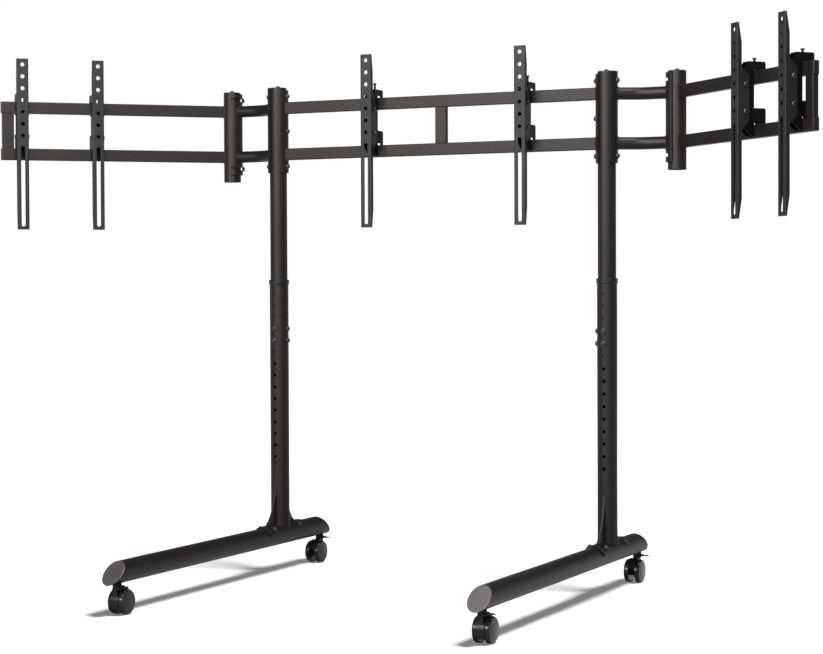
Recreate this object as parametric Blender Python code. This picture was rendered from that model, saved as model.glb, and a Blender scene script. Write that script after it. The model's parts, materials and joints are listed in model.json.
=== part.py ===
"""Triple monitor floor stand on casters.

Two feet, each a round leg tube on two twin-wheel casters with a telescopic post bolted to it,
carry a centre frame between the posts and a folding wing frame on each side. Six slotted screen
arms hang on the frames' rails from hook brackets, in which they tilt.

Metres, +Z up, the screens face -Y. The origin lies on the floor at the middle of the footprint.
"""

import math

import bmesh
import bpy
from mathutils import Matrix, Vector

# Clearances
GAP = 0.0003                    # between pieces that rest on each other
SLIDE_GAP = 0.00035             # upper post in the lower post, on the radius
TURN_GAP = 0.0006               # pivot tube in its shell, on the radius
AXLE_GAP = 0.0004               # small pins, axles and stems in their holes
SLOT_GAP = 0.0004               # bolts in their slots, above and below
RAIL_GAP = 0.0005               # hook brackets to the rails that they hold
CHEEK_GAP = 0.00035             # hook bracket between the screen arm's flanges
CUT_REACH = 0.005               # how far a cut goes past what it cuts

# Facets round a circle
TUBE_SIDES = 16
BOLT_SIDES = 6
HOLE_SIDES = 6
NECK_SIDES = 8
SMALL_SIDES = 6

# Feet
POST_SPACING = 0.900
LEG_LENGTH = 1.040
LEG_REAR_REACH = 0.245          # from the post's axis to the rear tip
LEG_RADIUS = 0.0254
LEG_WALL = 0.002
LEG_CLEARANCE = 0.0725          # from the floor to the underside of the leg
LEG_END_SLOPE = 1.0             # how far the end face leans back for its height
LEG_CAP_THICKNESS = 0.0035
LEG_PLUG_DEPTH = 0.006
PLUG_WALL_GAP = 0.0005

# Lower posts
LOWER_WALL = 0.0018
LOWER_TOP = 0.7545
HOLE_COUNT = 15
HOLE_PITCH = 0.030
TOP_HOLE_Z = 0.721
BOLTED_HOLES = (3, 4)           # counted from the top hole, which is 0
SADDLE_LENGTH = 0.190
SADDLE_WALL = 0.004
SADDLE_FACETS = 7
SADDLE_BOLT_Y = 0.066
SADDLE_BOLT_ANGLE = math.radians(45)
GUSSET_THICKNESS = 0.004
GUSSET_TOP = 0.235
GUSSET_REACH = 0.086
GUSSET_CURVE = 1.5              # 1 is a straight edge, 2 a quarter ellipse
SIDE_GUSSET_TOP = 0.180
COLLAR_RADIUS = 0.026
COLLAR_HEIGHT = 0.0125
COLLAR_LIP = 0.0027

# Upper posts
UPPER_RADIUS = 0.0220
UPPER_WALL = 0.002
UPPER_BOTTOM = 0.565
CAP_THICKNESS = 0.003
CAP_PLUG_DEPTH = 0.010
NUB_RADIUS = 0.006
NUB_HEIGHT = 0.005

# Frames, with heights counted from the frames' middle
FRAME_Z = 1.140
RAIL_Z = 0.0595
RAIL_HEIGHT = 0.030
RAIL_DEPTH = 0.015
RAIL_WALL = 0.0015
WELD_BITE = 0.001
SHELL_WALL = 0.0045
POST_SHELL_FACETS = 5
PIVOT_SHELL_FACETS = 7
SHELL_BOTTOM = -0.107
INNER_SHELL_TOP = 0.106
OUTER_SHELL_TOP = 0.112
POST_TOP = 0.109
CLAMP_BOLT_Z = 0.090
STRUT_X = 0.015
STRUT_STEP = 0.0004             # the uprights' faces lie this far behind the rails' faces
VENT_RADIUS = 0.003

# Side arms and wings
PIVOT_OUT = 0.162               # from the post's axis, outwards
PIVOT_BACK = 0.042              # from the post's axis, to the back
BEND_OUT = 0.071
BEND_LENGTH = 0.018             # along the tube, to either side of the bend's corner
SIDE_TUBE_RADIUS = 0.015
SIDE_TUBE_WALL = 0.0018
SIDE_TUBE_SIDES = 10
WING_ANGLE = math.radians(43)   # how far the wings stand folded forwards
WING_LIMIT = math.radians(60)   # either way from straight
WING_LENGTH = 0.600
PIVOT_BOTTOM = -0.125
PIVOT_TOP = 0.107
END_STRUT_INSET = 0.001
RAIL_PLUG_THICKNESS = 0.002
RAIL_PLUG_DEPTH = 0.010

# Screen arms, with depths counted back from the arm's front face
ARM_WIDTH = 0.030
ARM_TOP = 0.180
ARM_BOTTOM = -0.2525
ARM_WALL = 0.0025
ARM_EDGE_DEPTH = 0.011
ARM_MIDDLE_DEPTH = 0.030
ARM_TAPER_TOP = 0.082
ARM_TAPER_BOTTOM = -0.058
ARM_HOLE_RADIUS = 0.005
ARM_HOLE_COUNT = 7
ARM_HOLE_PITCH = 0.030
ARM_FIRST_HOLE = 0.015          # below the top
ARM_SLOT_DROP = 0.0308          # from the last hole's centre to that of the slot's upper round end
ARM_SLOT_MARGIN = 0.013         # from the centre of the slot's lower round end to the arm's bottom

# Hook brackets
RAIL_FRONT = 0.0445             # depth of the rails' front face
HOOK_WALL = 0.0025
HOOK_TOP = 0.095
HOOK_FRONT = 0.030
HOOK_BACK = 0.0735
HOOK_CHAMFER = 0.003
HOOK_NOTCH = (0.0178, 0.073)
HOOK_HEADROOM = 0.005           # over each rail
HOOK_LIP = 0.022                # hangs below the rail's top
LUG_TOP = -0.008
TAIL_FRONT = 0.036
TAIL_BOTTOM = -0.069
TAIL_SHOULDER = -0.051
FRONT_MARGIN = 0.001
TILT_BOLT_DEPTH = 0.021
TILT_PIVOT_Z = 0.0435
TILT_SLOT_Z = -0.016
TILT_FORWARD = math.radians(8)
TILT_BACK = math.radians(3)
TILT_BOLT_RADIUS = 0.003
TILT_HEAD_RADIUS = 0.0055
TILT_HEAD_HEIGHT = 0.0035
LEVEL_RADIUS = 0.003
LEVEL_HEAD_RADIUS = 0.0048
LEVEL_HEAD_HEIGHT = 0.004
CENTRE_LEVEL_RISE = 0.017
WING_LEVEL_RISE = 0.009

# Where the screen arms hang
CENTRE_ARMS = {"left": -0.170, "right": 0.246}
WING_INNER_ARMS = {"left": 0.361, "right": 0.352}       # from the pivot's axis
WING_OUTER_ARMS = {"left": 0.048, "right": 0.052}       # from the wing's end

# Button bolts
BOLT_RADIUS = 0.004
BOLT_HEAD_RADIUS = 0.0075
BOLT_CROWN_RADIUS = 0.0055
BOLT_HEAD_HEIGHT = 0.0055
BOLT_REACH = 0.003              # how far a bolt goes past the wall that it clamps

# Casters, with the trail counted from the stem's axis
CASTER_FRONT_INSET = 0.040      # from the leg's front tip
CASTER_REAR_INSET = 0.032       # from the leg's rear tip
WHEEL_RADIUS = 0.029
WHEEL_WIDTH = 0.014
WHEEL_TREAD = 0.0065
WHEEL_FACE_RADIUS = 0.017
WHEEL_SHOULDER = 0.0025
CASTER_TRAIL = 0.018
HOOD_WIDTH = 0.013
HOOD_SIDE_GAP = 0.001
HOOD_LIFT = 0.0025
HOOD_SHIN = (math.radians(212), math.radians(152))      # round the axle, from the rear
HOOD_CROWN = (math.radians(100), math.radians(24))
NECK_RADIUS = 0.010
NECK_BOTTOM = 0.0597
STEM_RADIUS = 0.0055
STEM_TOP = 0.086
AXLE_RADIUS = 0.004
AXLE_DEPTH = 0.010              # in each wheel
LEVER_HINGE_X = 0.0125
LEVER_HINGE_Z = 0.0655
LEVER_LENGTH = 0.0185
LEVER_SHOULDER = 0.6            # share of its length at full width
LEVER_HALF_WIDTH = 0.005
LEVER_TIP_HALF_WIDTH = 0.0015
LEVER_THICKNESS = 0.0025
KNUCKLE_RADIUS = 0.0028
EAR_THICKNESS = 0.003
EAR_GAP = 0.0003
EAR_MARGIN = 0.003
LEVER_PIN_RADIUS = 0.0014

# Worked out from the sizes above
POST_X = POST_SPACING / 2
POST_Y = LEG_LENGTH / 2 - LEG_REAR_REACH
FLAT = math.cos(math.pi / TUBE_SIDES)    # a tube's flats lie this share of its radius from its axis
LEG_Z = LEG_CLEARANCE + LEG_RADIUS * FLAT
LOWER_BORE = UPPER_RADIUS + SLIDE_GAP
LOWER_RADIUS = LOWER_BORE + LOWER_WALL
SADDLE_INNER = LEG_RADIUS + GAP
SADDLE_OUTER = SADDLE_INNER + SADDLE_WALL
POST_SHELL_INNER = UPPER_RADIUS + GAP
POST_SHELL_OUTER = POST_SHELL_INNER + SHELL_WALL
PIVOT_SHELL_INNER = UPPER_RADIUS + TURN_GAP
PIVOT_SHELL_OUTER = PIVOT_SHELL_INNER + SHELL_WALL
PIVOT_X = POST_X + PIVOT_OUT
PIVOT_Y = POST_Y + PIVOT_BACK
ARM_REACH = RAIL_FRONT + RAIL_DEPTH / 2
RAIL_BACK = RAIL_FRONT + RAIL_DEPTH
UPPER_RAIL_TOP = RAIL_Z + RAIL_HEIGHT / 2
LOWER_RAIL_TOP = -RAIL_Z + RAIL_HEIGHT / 2
CASTER_FRONT_Y = CASTER_FRONT_INSET - LEG_LENGTH / 2
CASTER_REAR_Y = LEG_LENGTH / 2 - CASTER_REAR_INSET
ARM_SLOT_TOP = ARM_FIRST_HOLE + ARM_HOLE_PITCH * (ARM_HOLE_COUNT - 1) + ARM_SLOT_DROP
ARM_SLOT_BOTTOM = ARM_TOP - ARM_BOTTOM - ARM_SLOT_MARGIN
HOOK_WIDTH = ARM_WIDTH - 2 * ARM_WALL - 2 * CHEEK_GAP
BOLT_HOLE = BOLT_RADIUS + GAP
TILT_HOLE = TILT_BOLT_RADIUS + AXLE_GAP

SIDES = {"left": Matrix.Scale(-1, 4, Vector((1, 0, 0))), "right": Matrix.Identity(4)}

# Turns a piece's length onto another axis: across runs along +X, forwards along -Y, inwards along -X
ACROSS = Matrix(((0, 0, 1, 0), (1, 0, 0, 0), (0, 1, 0, 0), (0, 0, 0, 1)))
FORWARDS = Matrix.Rotation(math.radians(90), 4, "X")
INWARDS = Matrix.Rotation(math.radians(-90), 4, "Y")


def clear_scene():
    """Remove every object that the file opens with."""
    for thing in list(bpy.data.objects):
        bpy.data.objects.remove(thing, do_unlink=True)


def finish(name, colour, roughness, metallic):
    """A plain Principled finish."""
    paint = bpy.data.materials.new(name)
    paint.use_nodes = True
    shader = paint.node_tree.nodes["Principled BSDF"]
    shader.inputs["Base Color"].default_value = (*colour, 1.0)
    shader.inputs["Roughness"].default_value = roughness
    shader.inputs["Metallic"].default_value = metallic
    paint.diffuse_color = (*colour, 1.0)
    return paint


def at(x, y, z):
    """A frame that only moves."""
    return Matrix.Translation((x, y, z))


def circle(radius, sides, phase=0.5):
    """Corners of a regular polygon; a phase of a half puts flats, not corners, on the axes."""
    step = 2 * math.pi / sides
    return [(radius * math.cos((i + phase) * step), radius * math.sin((i + phase) * step)) for i in range(sides)]


def clearing(radius, gap, sides):
    """Corner radius of a polygonal hole in which a round of this radius turns freely."""
    return (radius + gap) / math.cos(math.pi / sides)


def arc(centre, radius, start, end, steps):
    """Points along an arc, both ends included."""
    angles = [start + (end - start) * i / steps for i in range(steps + 1)]
    return [(centre[0] + radius * math.cos(a), centre[1] + radius * math.sin(a)) for a in angles]


def loft(bm, rings, frame, closed=False):
    """Skin rings of points into one body, capped at its ends or, when closed, joined back to its start."""
    loops = [[bm.verts.new(frame @ Vector(point)) for point in ring] for ring in rings]
    pairs = list(zip(loops, loops[1:]))
    if closed:
        pairs.append((loops[-1], loops[0]))
    else:
        bm.faces.new(loops[0])
        bm.faces.new(loops[-1])
    count = len(loops[0])
    for first, second in pairs:
        for i in range(count):
            j = (i + 1) % count
            bm.faces.new((first[i], first[j], second[j], second[i]))


def prism(bm, outline, low, high, frame):
    """Extrude a flat outline along the frame's Z."""
    loft(bm, [[(x, y, z) for x, y in outline] for z in (low, high)], frame)


def turned(bm, profile, sides, frame, closed=False):
    """Turn a profile of (radius, height) pairs round the frame's Z."""
    loft(bm, [[(x, y, height) for x, y in circle(radius, sides)] for radius, height in profile], frame, closed)


def rod(bm, radius, low, high, sides, frame):
    """A plain round bar."""
    turned(bm, [(radius, low), (radius, high)], sides, frame)


def pipe(bm, outer, inner, low, high, sides, frame):
    """A round tube, open at both ends."""
    turned(bm, [(outer, low), (outer, high), (inner, high), (inner, low)], sides, frame, closed=True)


def block(bm, x_range, y_range, z_range, frame):
    """A box between two corners."""
    outline = [(x_range[0], y_range[0]), (x_range[1], y_range[0]), (x_range[1], y_range[1]), (x_range[0], y_range[1])]
    prism(bm, outline, z_range[0], z_range[1], frame)


def part_shell(bm, inner, outer, facets, low, high, frame):
    """Part of a tube's wall, spread evenly about the frame's +X; its facets lie as a whole tube's do."""
    spread = facets * math.pi / TUBE_SIDES
    outside = arc((0, 0), outer, -spread, spread, facets)
    inside = arc((0, 0), inner, spread, -spread, facets)
    prism(bm, outside + inside, low, high, frame)


def along_path(path, index):
    """Place and mitre at one of a path's points, the path lying in a frame's XY plane."""
    here = Vector(path[index])
    before = (here - Vector(path[index - 1])).normalized() if index > 0 else None
    after = (Vector(path[index + 1]) - here).normalized() if index + 1 < len(path) else None
    along = ((before or after) + (after or before)).normalized()
    widen = 1 / along.dot(after or before)
    return here, Vector((-along.y, along.x)) * widen


def swept_tube(bm, path, outer, inner, frame):
    """A tube, open at both ends, whose outer and inner sections follow a path; sections are (across, up) pairs."""
    def section(index, outline):
        here, across = along_path(path, index)
        return [(here.x + across.x * a, here.y + across.y * a, up) for a, up in outline]

    indices = range(len(path))
    outside = [section(i, outer) for i in indices]
    inside = [section(i, inner) for i in reversed(indices)]
    loft(bm, outside + inside, frame, closed=True)


def box_tube(bm, path, depth, frame):
    """A rectangular tube of the rails' height."""
    def corners(wall):
        a = depth / 2 - wall
        b = RAIL_HEIGHT / 2 - wall
        return [(-a, -b), (a, -b), (a, b), (-a, b)]

    swept_tube(bm, path, corners(0), corners(RAIL_WALL), frame)


def strut(bm, x, frame):
    """The upright between the two rails, bitten into their walls; the frame lies on the rails' middle line."""
    half = RAIL_Z - RAIL_HEIGHT / 2 + WELD_BITE
    upright = frame @ at(x, 0, 0) @ INWARDS
    box_tube(bm, [(-half, 0), (half, 0)], RAIL_DEPTH - 2 * STRUT_STEP, upright)


def slot(start, end, radius, steps):
    """Outline of a straight slot with round ends, between two points one above the other."""
    top = arc(start, radius, 0, math.pi, steps)
    bottom = arc(end, radius, math.pi, 2 * math.pi, steps)
    return top + bottom


def filled(name, fill, origin):
    """A mesh object that fill draws in world space, with its origin moved to a place."""
    bm = bmesh.new()
    fill(bm)
    bmesh.ops.translate(bm, verts=bm.verts, vec=-origin)
    bmesh.ops.recalc_face_normals(bm, faces=bm.faces)
    mesh = bpy.data.meshes.new(name)
    bm.to_mesh(mesh)
    bm.free()
    thing = bpy.data.objects.new(name, mesh)
    thing.location = origin
    bpy.context.scene.collection.objects.link(thing)
    return thing


def piece(name, fill, paint, pivot):
    """A named sub-part, carried by the empty on its joint's axis."""
    thing = filled(name, fill, Vector(pivot["place"]))
    thing.parent = pivot["empty"]
    thing.location = (0, 0, 0)
    thing.data.materials.append(paint)
    thing.data.shade_smooth()
    thing.data.set_sharp_from_angle(angle=math.radians(35))
    return thing


def combine(target, operation, fill):
    """Add to a sub-part, or cut from it, with a hidden helper that fill draws."""
    helper = filled(f"{target.name}_helper_{len(target.modifiers) + 1}", fill, Vector((0, 0, 0)))
    helper.hide_render = True
    helper.display_type = "WIRE"
    modifier = target.modifiers.new(operation.lower(), "BOOLEAN")
    modifier.operation = operation
    modifier.solver = "EXACT"
    modifier.object = helper


def weld(target, fill):
    combine(target, "UNION", fill)


def cut(target, fill):
    combine(target, "DIFFERENCE", fill)


def pivot(name, place, parent=None):
    """An empty on a joint's axis."""
    empty = bpy.data.objects.new(name, None)
    empty.empty_display_size = POST_SPACING / 30
    bpy.context.scene.collection.objects.link(empty)
    empty.parent = parent["empty"] if parent else None
    origin = Vector(parent["place"]) if parent else Vector((0, 0, 0))
    empty.location = Vector(place) - origin
    return {"empty": empty, "place": tuple(place)}


def button_bolt(bm, sunk, length, frame):
    """A bolt seated on the frame's XY plane; its head is sunk into what carries it, and its shank goes down."""
    profile = [(BOLT_HEAD_RADIUS, -sunk), (BOLT_CROWN_RADIUS, BOLT_HEAD_HEIGHT)]
    if length > sunk:
        profile = [(BOLT_RADIUS, -length), (BOLT_RADIUS, -sunk)] + profile
    turned(bm, profile, BOLT_SIDES, frame)


def post_frame(mirror, height=0.0):
    return mirror @ at(POST_X, POST_Y, height)


def wing_frame(mirror):
    """On the pivot's axis at the frames' middle, +X out along the wing and -Y to the wing's front."""
    return mirror @ at(PIVOT_X, PIVOT_Y, FRAME_Z) @ Matrix.Rotation(-WING_ANGLE, 4, "Z")


# Feet


def leg_ring(radius, inset, end):
    """A slanted ring near one end of the leg: end is -1 at the front and 1 at the rear."""
    ring = []
    for x, z in circle(radius, TUBE_SIDES):
        y = end * (LEG_LENGTH / 2 - inset - (z + LEG_RADIUS) * LEG_END_SLOPE)
        ring.append((x, y, z))
    return ring


def saddle_bolt_frames(mirror, radius):
    """On the leg's flanks in front of and behind the post, +Z away from the leg's axis."""
    for y in (-SADDLE_BOLT_Y, SADDLE_BOLT_Y):
        for turn in (-SADDLE_BOLT_ANGLE, SADDLE_BOLT_ANGLE):
            yield post_frame(mirror, LEG_Z) @ at(0, y, 0) @ Matrix.Rotation(turn, 4, "Y") @ at(0, 0, radius)


def leg_tube(side, mirror, paint, base):
    frame = mirror @ at(POST_X, 0, LEG_Z)
    inner = LEG_RADIUS - LEG_WALL
    inset = LEG_CAP_THICKNESS + GAP

    def walls(bm):
        order = [(LEG_RADIUS, -1), (LEG_RADIUS, 1), (inner, 1), (inner, -1)]
        loft(bm, [leg_ring(radius, inset, end) for radius, end in order], frame, closed=True)

    def holes(bm):
        for bolt in saddle_bolt_frames(mirror, 0):
            rod(bm, BOLT_HOLE, inner - 2 * LEG_WALL, SADDLE_OUTER, BOLT_SIDES, bolt)
        for y in (CASTER_FRONT_Y, CASTER_REAR_Y):
            stem = mirror @ at(POST_X, y, 0)
            rod(bm, clearing(STEM_RADIUS, AXLE_GAP, BOLT_SIDES), 0, LEG_Z - inner / 2, BOLT_SIDES, stem)

    tube = piece(f"leg_tube_{side}", walls, paint, base)
    cut(tube, holes)


def leg_cap(label, end, mirror, paint, base):
    frame = mirror @ at(POST_X, 0, LEG_Z)
    plug = LEG_RADIUS - LEG_WALL - PLUG_WALL_GAP

    def disc(bm):
        rings = [
            leg_ring(LEG_RADIUS, 0, end),
            leg_ring(LEG_RADIUS, LEG_CAP_THICKNESS, end),
            leg_ring(plug, LEG_CAP_THICKNESS, end),
            leg_ring(plug, LEG_CAP_THICKNESS + LEG_PLUG_DEPTH, end),
        ]
        loft(bm, rings, frame)

    piece(f"leg_cap_{label}", disc, paint, base)


def gusset_outline(start, reach, bottom, top):
    """A fin that sweeps from the post out to the saddle in a hollow curve."""
    steps = 5
    edge = []
    for i in range(steps + 1):
        out = i / steps
        left = 1 - (1 - out) ** GUSSET_CURVE
        drop = 1 - left ** (1 / GUSSET_CURVE)
        edge.append((LOWER_RADIUS + (reach - LOWER_RADIUS) * out, bottom + (top - bottom) * drop))
    foot = bottom - SADDLE_WALL
    return [(start, foot), (start, top)] + edge + [(reach, foot)]


def post_hole_frame(mirror, index, turn, radius):
    """A place on the lower post's wall at one of its holes' heights, +Z away from the post's axis."""
    return post_frame(mirror, TOP_HOLE_Z - HOLE_PITCH * index) @ turn @ at(0, 0, radius)


def lower_post(side, mirror, paint, base):
    """The lower tube with its saddle, gussets and bolts as one piece."""
    frame = post_frame(mirror)
    along_leg = post_frame(mirror, LEG_Z) @ FORWARDS

    def tube(bm):
        pipe(bm, LOWER_RADIUS, LOWER_BORE, LEG_Z + LEG_RADIUS / 2, LOWER_TOP, TUBE_SIDES, frame)

    def saddle(bm):
        upwards = along_leg @ Matrix.Rotation(math.radians(90), 4, "Z")
        half = SADDLE_LENGTH / 2
        part_shell(bm, SADDLE_INNER, SADDLE_OUTER, SADDLE_FACETS, -half, half, upwards)

    def front_and_rear_gussets(bm):
        start = LOWER_RADIUS - LOWER_WALL / 2
        outline = gusset_outline(start, GUSSET_REACH, LEG_Z + SADDLE_OUTER, GUSSET_TOP)
        half = GUSSET_THICKNESS / 2
        for turn in (0, math.pi):
            prism(bm, outline, -half, half, frame @ Matrix.Rotation(turn, 4, "Z") @ ACROSS)

    def side_gussets(bm):
        start = LOWER_RADIUS - LOWER_WALL / 2
        shoulder = LEG_Z + SADDLE_OUTER / 2
        outline = [(start, shoulder), (start, SIDE_GUSSET_TOP), (LOWER_RADIUS + WELD_BITE, SIDE_GUSSET_TOP)]
        outline += [(SADDLE_OUTER, LEG_Z + SADDLE_OUTER), (SADDLE_OUTER, LEG_Z + SADDLE_OUTER / 3)]
        half = GUSSET_THICKNESS / 2
        for turn in (-math.pi / 2, math.pi / 2):
            prism(bm, outline, -half, half, frame @ Matrix.Rotation(turn, 4, "Z") @ ACROSS)

    def saddle_room(bm):
        rod(bm, SADDLE_INNER + SADDLE_WALL / 2, -SADDLE_LENGTH, SADDLE_LENGTH, TUBE_SIDES, along_leg)

    def holes(bm):
        for index in range(HOLE_COUNT):
            if index not in BOLTED_HOLES:
                hole = post_hole_frame(mirror, index, FORWARDS, 0)
                rod(bm, BOLT_HOLE, LOWER_BORE - CUT_REACH, LOWER_RADIUS + CUT_REACH, SMALL_SIDES, hole)

    def bolts(bm):
        for bolt in saddle_bolt_frames(mirror, SADDLE_OUTER):
            button_bolt(bm, SADDLE_WALL / 2, SADDLE_WALL + LEG_WALL + BOLT_REACH, bolt)
        for index in BOLTED_HOLES:
            for turn in (FORWARDS, INWARDS):
                button_bolt(bm, LOWER_WALL, LOWER_WALL, post_hole_frame(mirror, index, turn, LOWER_RADIUS))

    post = piece(f"lower_post_{side}", tube, paint, base)
    weld(post, front_and_rear_gussets)
    weld(post, side_gussets)
    cut(post, saddle_room)
    weld(post, saddle)
    cut(post, holes)
    weld(post, bolts)


def post_collar(side, mirror, paint, base):
    top = LOWER_TOP + GAP + COLLAR_LIP
    bore = UPPER_RADIUS + GAP
    socket = LOWER_RADIUS + GAP

    def ring(bm):
        profile = [
            (COLLAR_RADIUS, top - COLLAR_HEIGHT),
            (COLLAR_RADIUS, top),
            (bore, top),
            (bore, LOWER_TOP + GAP),
            (socket, LOWER_TOP + GAP),
            (socket, top - COLLAR_HEIGHT),
        ]
        turned(bm, profile, TUBE_SIDES, post_frame(mirror), closed=True)

    piece(f"post_collar_{side}", ring, paint, base)


# Upper posts and frames


def clamp_bolt_frames(mirror, radius):
    """Three bolts on the post's inner side and two on its outer side, +Z away from the post's axis."""
    for quarter, heights in ((-1, (-CLAMP_BOLT_Z, 0, CLAMP_BOLT_Z)), (1, (-CLAMP_BOLT_Z, CLAMP_BOLT_Z))):
        turn = Matrix.Rotation(quarter * math.radians(90), 4, "Y")
        for height in heights:
            yield quarter, post_frame(mirror, FRAME_Z + height) @ turn @ at(0, 0, radius)


def upper_post(side, mirror, paint, frame_pivot):
    def tube(bm):
        pipe(bm, UPPER_RADIUS, UPPER_RADIUS - UPPER_WALL, UPPER_BOTTOM, FRAME_Z + POST_TOP, TUBE_SIDES,
             post_frame(mirror))

    def holes(bm):
        for _, bolt in clamp_bolt_frames(mirror, 0):
            rod(bm, BOLT_HOLE, UPPER_RADIUS - UPPER_WALL - CUT_REACH, UPPER_RADIUS + CUT_REACH, BOLT_SIDES, bolt)

    post = piece(f"upper_post_{side}", tube, paint, frame_pivot)
    cut(post, holes)


def tube_cap(name, top, frame, paint, carrier):
    """A push-in end cap with a small nub, for a tube that ends at height top."""
    plug = UPPER_RADIUS - UPPER_WALL - PLUG_WALL_GAP
    seat = top + GAP
    lid = seat + CAP_THICKNESS

    def body(bm):
        turned(bm, [(plug, seat - CAP_PLUG_DEPTH), (plug, seat), (UPPER_RADIUS, seat), (UPPER_RADIUS, lid)],
               TUBE_SIDES, frame)

    def nub(bm):
        turned(bm, [(NUB_RADIUS, seat), (NUB_RADIUS, lid), (NUB_RADIUS / 2, lid + NUB_HEIGHT)], BOLT_SIDES, frame)

    cap = piece(name, body, paint, carrier)
    weld(cap, nub)


def clamp_bolts(bm, mirror, wanted):
    """The bolts through one of the two shells on a post and on into the post's wall."""
    for quarter, bolt in clamp_bolt_frames(mirror, POST_SHELL_OUTER):
        if quarter == wanted:
            button_bolt(bm, SHELL_WALL / 2, SHELL_WALL + UPPER_WALL + BOLT_REACH, bolt)


def centre_frame(paint, frame_pivot):
    """Two rails and an upright between an inner half clamp on each post."""
    middle = at(0, POST_Y, FRAME_Z)
    reach = POST_X - POST_SHELL_INNER - SHELL_WALL / 2

    def rails(bm):
        for height in (-RAIL_Z, RAIL_Z):
            box_tube(bm, [(-reach, 0), (reach, 0)], RAIL_DEPTH, middle @ at(0, 0, height))

    def shells(bm):
        for mirror in SIDES.values():
            inwards = post_frame(mirror, FRAME_Z) @ Matrix.Rotation(math.pi, 4, "Z")
            part_shell(bm, POST_SHELL_INNER, POST_SHELL_OUTER, POST_SHELL_FACETS, SHELL_BOTTOM, INNER_SHELL_TOP,
                       inwards)

    def upright(bm):
        strut(bm, STRUT_X, middle)

    def bolts(bm):
        for mirror in SIDES.values():
            clamp_bolts(bm, mirror, -1)

    def vents(bm):
        for x, z in ((STRUT_X, 0), (STRUT_X + RAIL_HEIGHT, RAIL_Z), (STRUT_X + RAIL_HEIGHT, -RAIL_Z)):
            vent(bm, middle @ at(x, 0, z))

    frame = piece("centre_frame", rails, paint, frame_pivot)
    weld(frame, shells)
    weld(frame, upright)
    cut(frame, vents)
    weld(frame, bolts)


def vent(bm, frame):
    """A small drain hole through a tube's back wall; the frame lies in the tube's middle."""
    rod(bm, VENT_RADIUS, -RAIL_DEPTH, -RAIL_DEPTH / 4, SMALL_SIDES, frame @ FORWARDS)


def side_arm(side, mirror, paint, frame_pivot):
    """Two bent tubes between an outer half clamp on the post and the wing's pivot shell."""
    post = post_frame(mirror, FRAME_Z)
    hinge = mirror @ at(PIVOT_X, PIVOT_Y, FRAME_Z)
    bend = Vector((BEND_OUT, PIVOT_BACK))
    slant = bend.normalized()
    end = Vector((PIVOT_OUT - UPPER_RADIUS / 2, PIVOT_BACK))
    corner = (bend - slant * BEND_LENGTH, bend + Vector((BEND_LENGTH, 0)))
    path = [point[:] for point in (slant * UPPER_RADIUS / 2, *corner, end)]

    def tubes(bm):
        outer = circle(SIDE_TUBE_RADIUS, SIDE_TUBE_SIDES)
        inner = circle(SIDE_TUBE_RADIUS - SIDE_TUBE_WALL, SIDE_TUBE_SIDES)
        for height in (-RAIL_Z, RAIL_Z):
            swept_tube(bm, path, outer, inner, post @ at(0, 0, height))

    def seats(bm):
        reach = RAIL_Z + 2 * SIDE_TUBE_RADIUS
        rod(bm, POST_SHELL_INNER + SHELL_WALL / 2, -reach, reach, TUBE_SIDES, post)
        rod(bm, PIVOT_SHELL_INNER + SHELL_WALL / 2, -reach, reach, TUBE_SIDES, hinge)

    def post_shell(bm):
        part_shell(bm, POST_SHELL_INNER, POST_SHELL_OUTER, POST_SHELL_FACETS, SHELL_BOTTOM, OUTER_SHELL_TOP, post)

    def pivot_shell(bm):
        inwards = hinge @ Matrix.Rotation(math.pi, 4, "Z")
        part_shell(bm, PIVOT_SHELL_INNER, PIVOT_SHELL_OUTER, PIVOT_SHELL_FACETS, SHELL_BOTTOM, INNER_SHELL_TOP,
                   inwards)

    def slots(bm):
        half = BOLT_RADIUS + SLOT_GAP
        reach = 2 * PIVOT_SHELL_OUTER
        wedge = [(0, 0)] + arc((0, 0), reach, math.pi - WING_LIMIT, math.pi + WING_LIMIT, 2)
        for height in (-CLAMP_BOLT_Z, CLAMP_BOLT_Z):
            prism(bm, wedge, height - half, height + half, hinge)

    def slot_ends(bm):
        for height in (-CLAMP_BOLT_Z, CLAMP_BOLT_Z):
            for turn in (math.pi - WING_LIMIT, math.pi + WING_LIMIT):
                outwards = Matrix.Rotation(turn, 4, "Z") @ ACROSS
                end = hinge @ at(0, 0, height) @ outwards
                rod(bm, BOLT_RADIUS + SLOT_GAP, PIVOT_SHELL_INNER / 2, 2 * PIVOT_SHELL_OUTER, HOLE_SIDES, end)

    def bolts(bm):
        clamp_bolts(bm, mirror, 1)

    def vents(bm):
        for height in (-RAIL_Z, RAIL_Z):
            low = post @ at((BEND_OUT + PIVOT_OUT) / 2, PIVOT_BACK, height - SIDE_TUBE_RADIUS)
            rod(bm, VENT_RADIUS, -SIDE_TUBE_WALL, 2 * SIDE_TUBE_WALL, SMALL_SIDES, low)

    arm = piece(f"side_arm_{side}", tubes, paint, frame_pivot)
    cut(arm, seats)
    weld(arm, post_shell)
    weld(arm, pivot_shell)
    cut(arm, slots)
    cut(arm, slot_ends)
    cut(arm, vents)
    weld(arm, bolts)


# Wings


def pivot_bolt_frames(mirror, radius):
    """The two clamping bolts, opposite the wing's rails and so in line with the side arm when the wing is straight."""
    for height in (-CLAMP_BOLT_Z, CLAMP_BOLT_Z):
        yield wing_frame(mirror) @ at(0, 0, height) @ Matrix.Rotation(math.pi, 4, "Z") @ ACROSS @ at(0, 0, radius)


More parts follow.
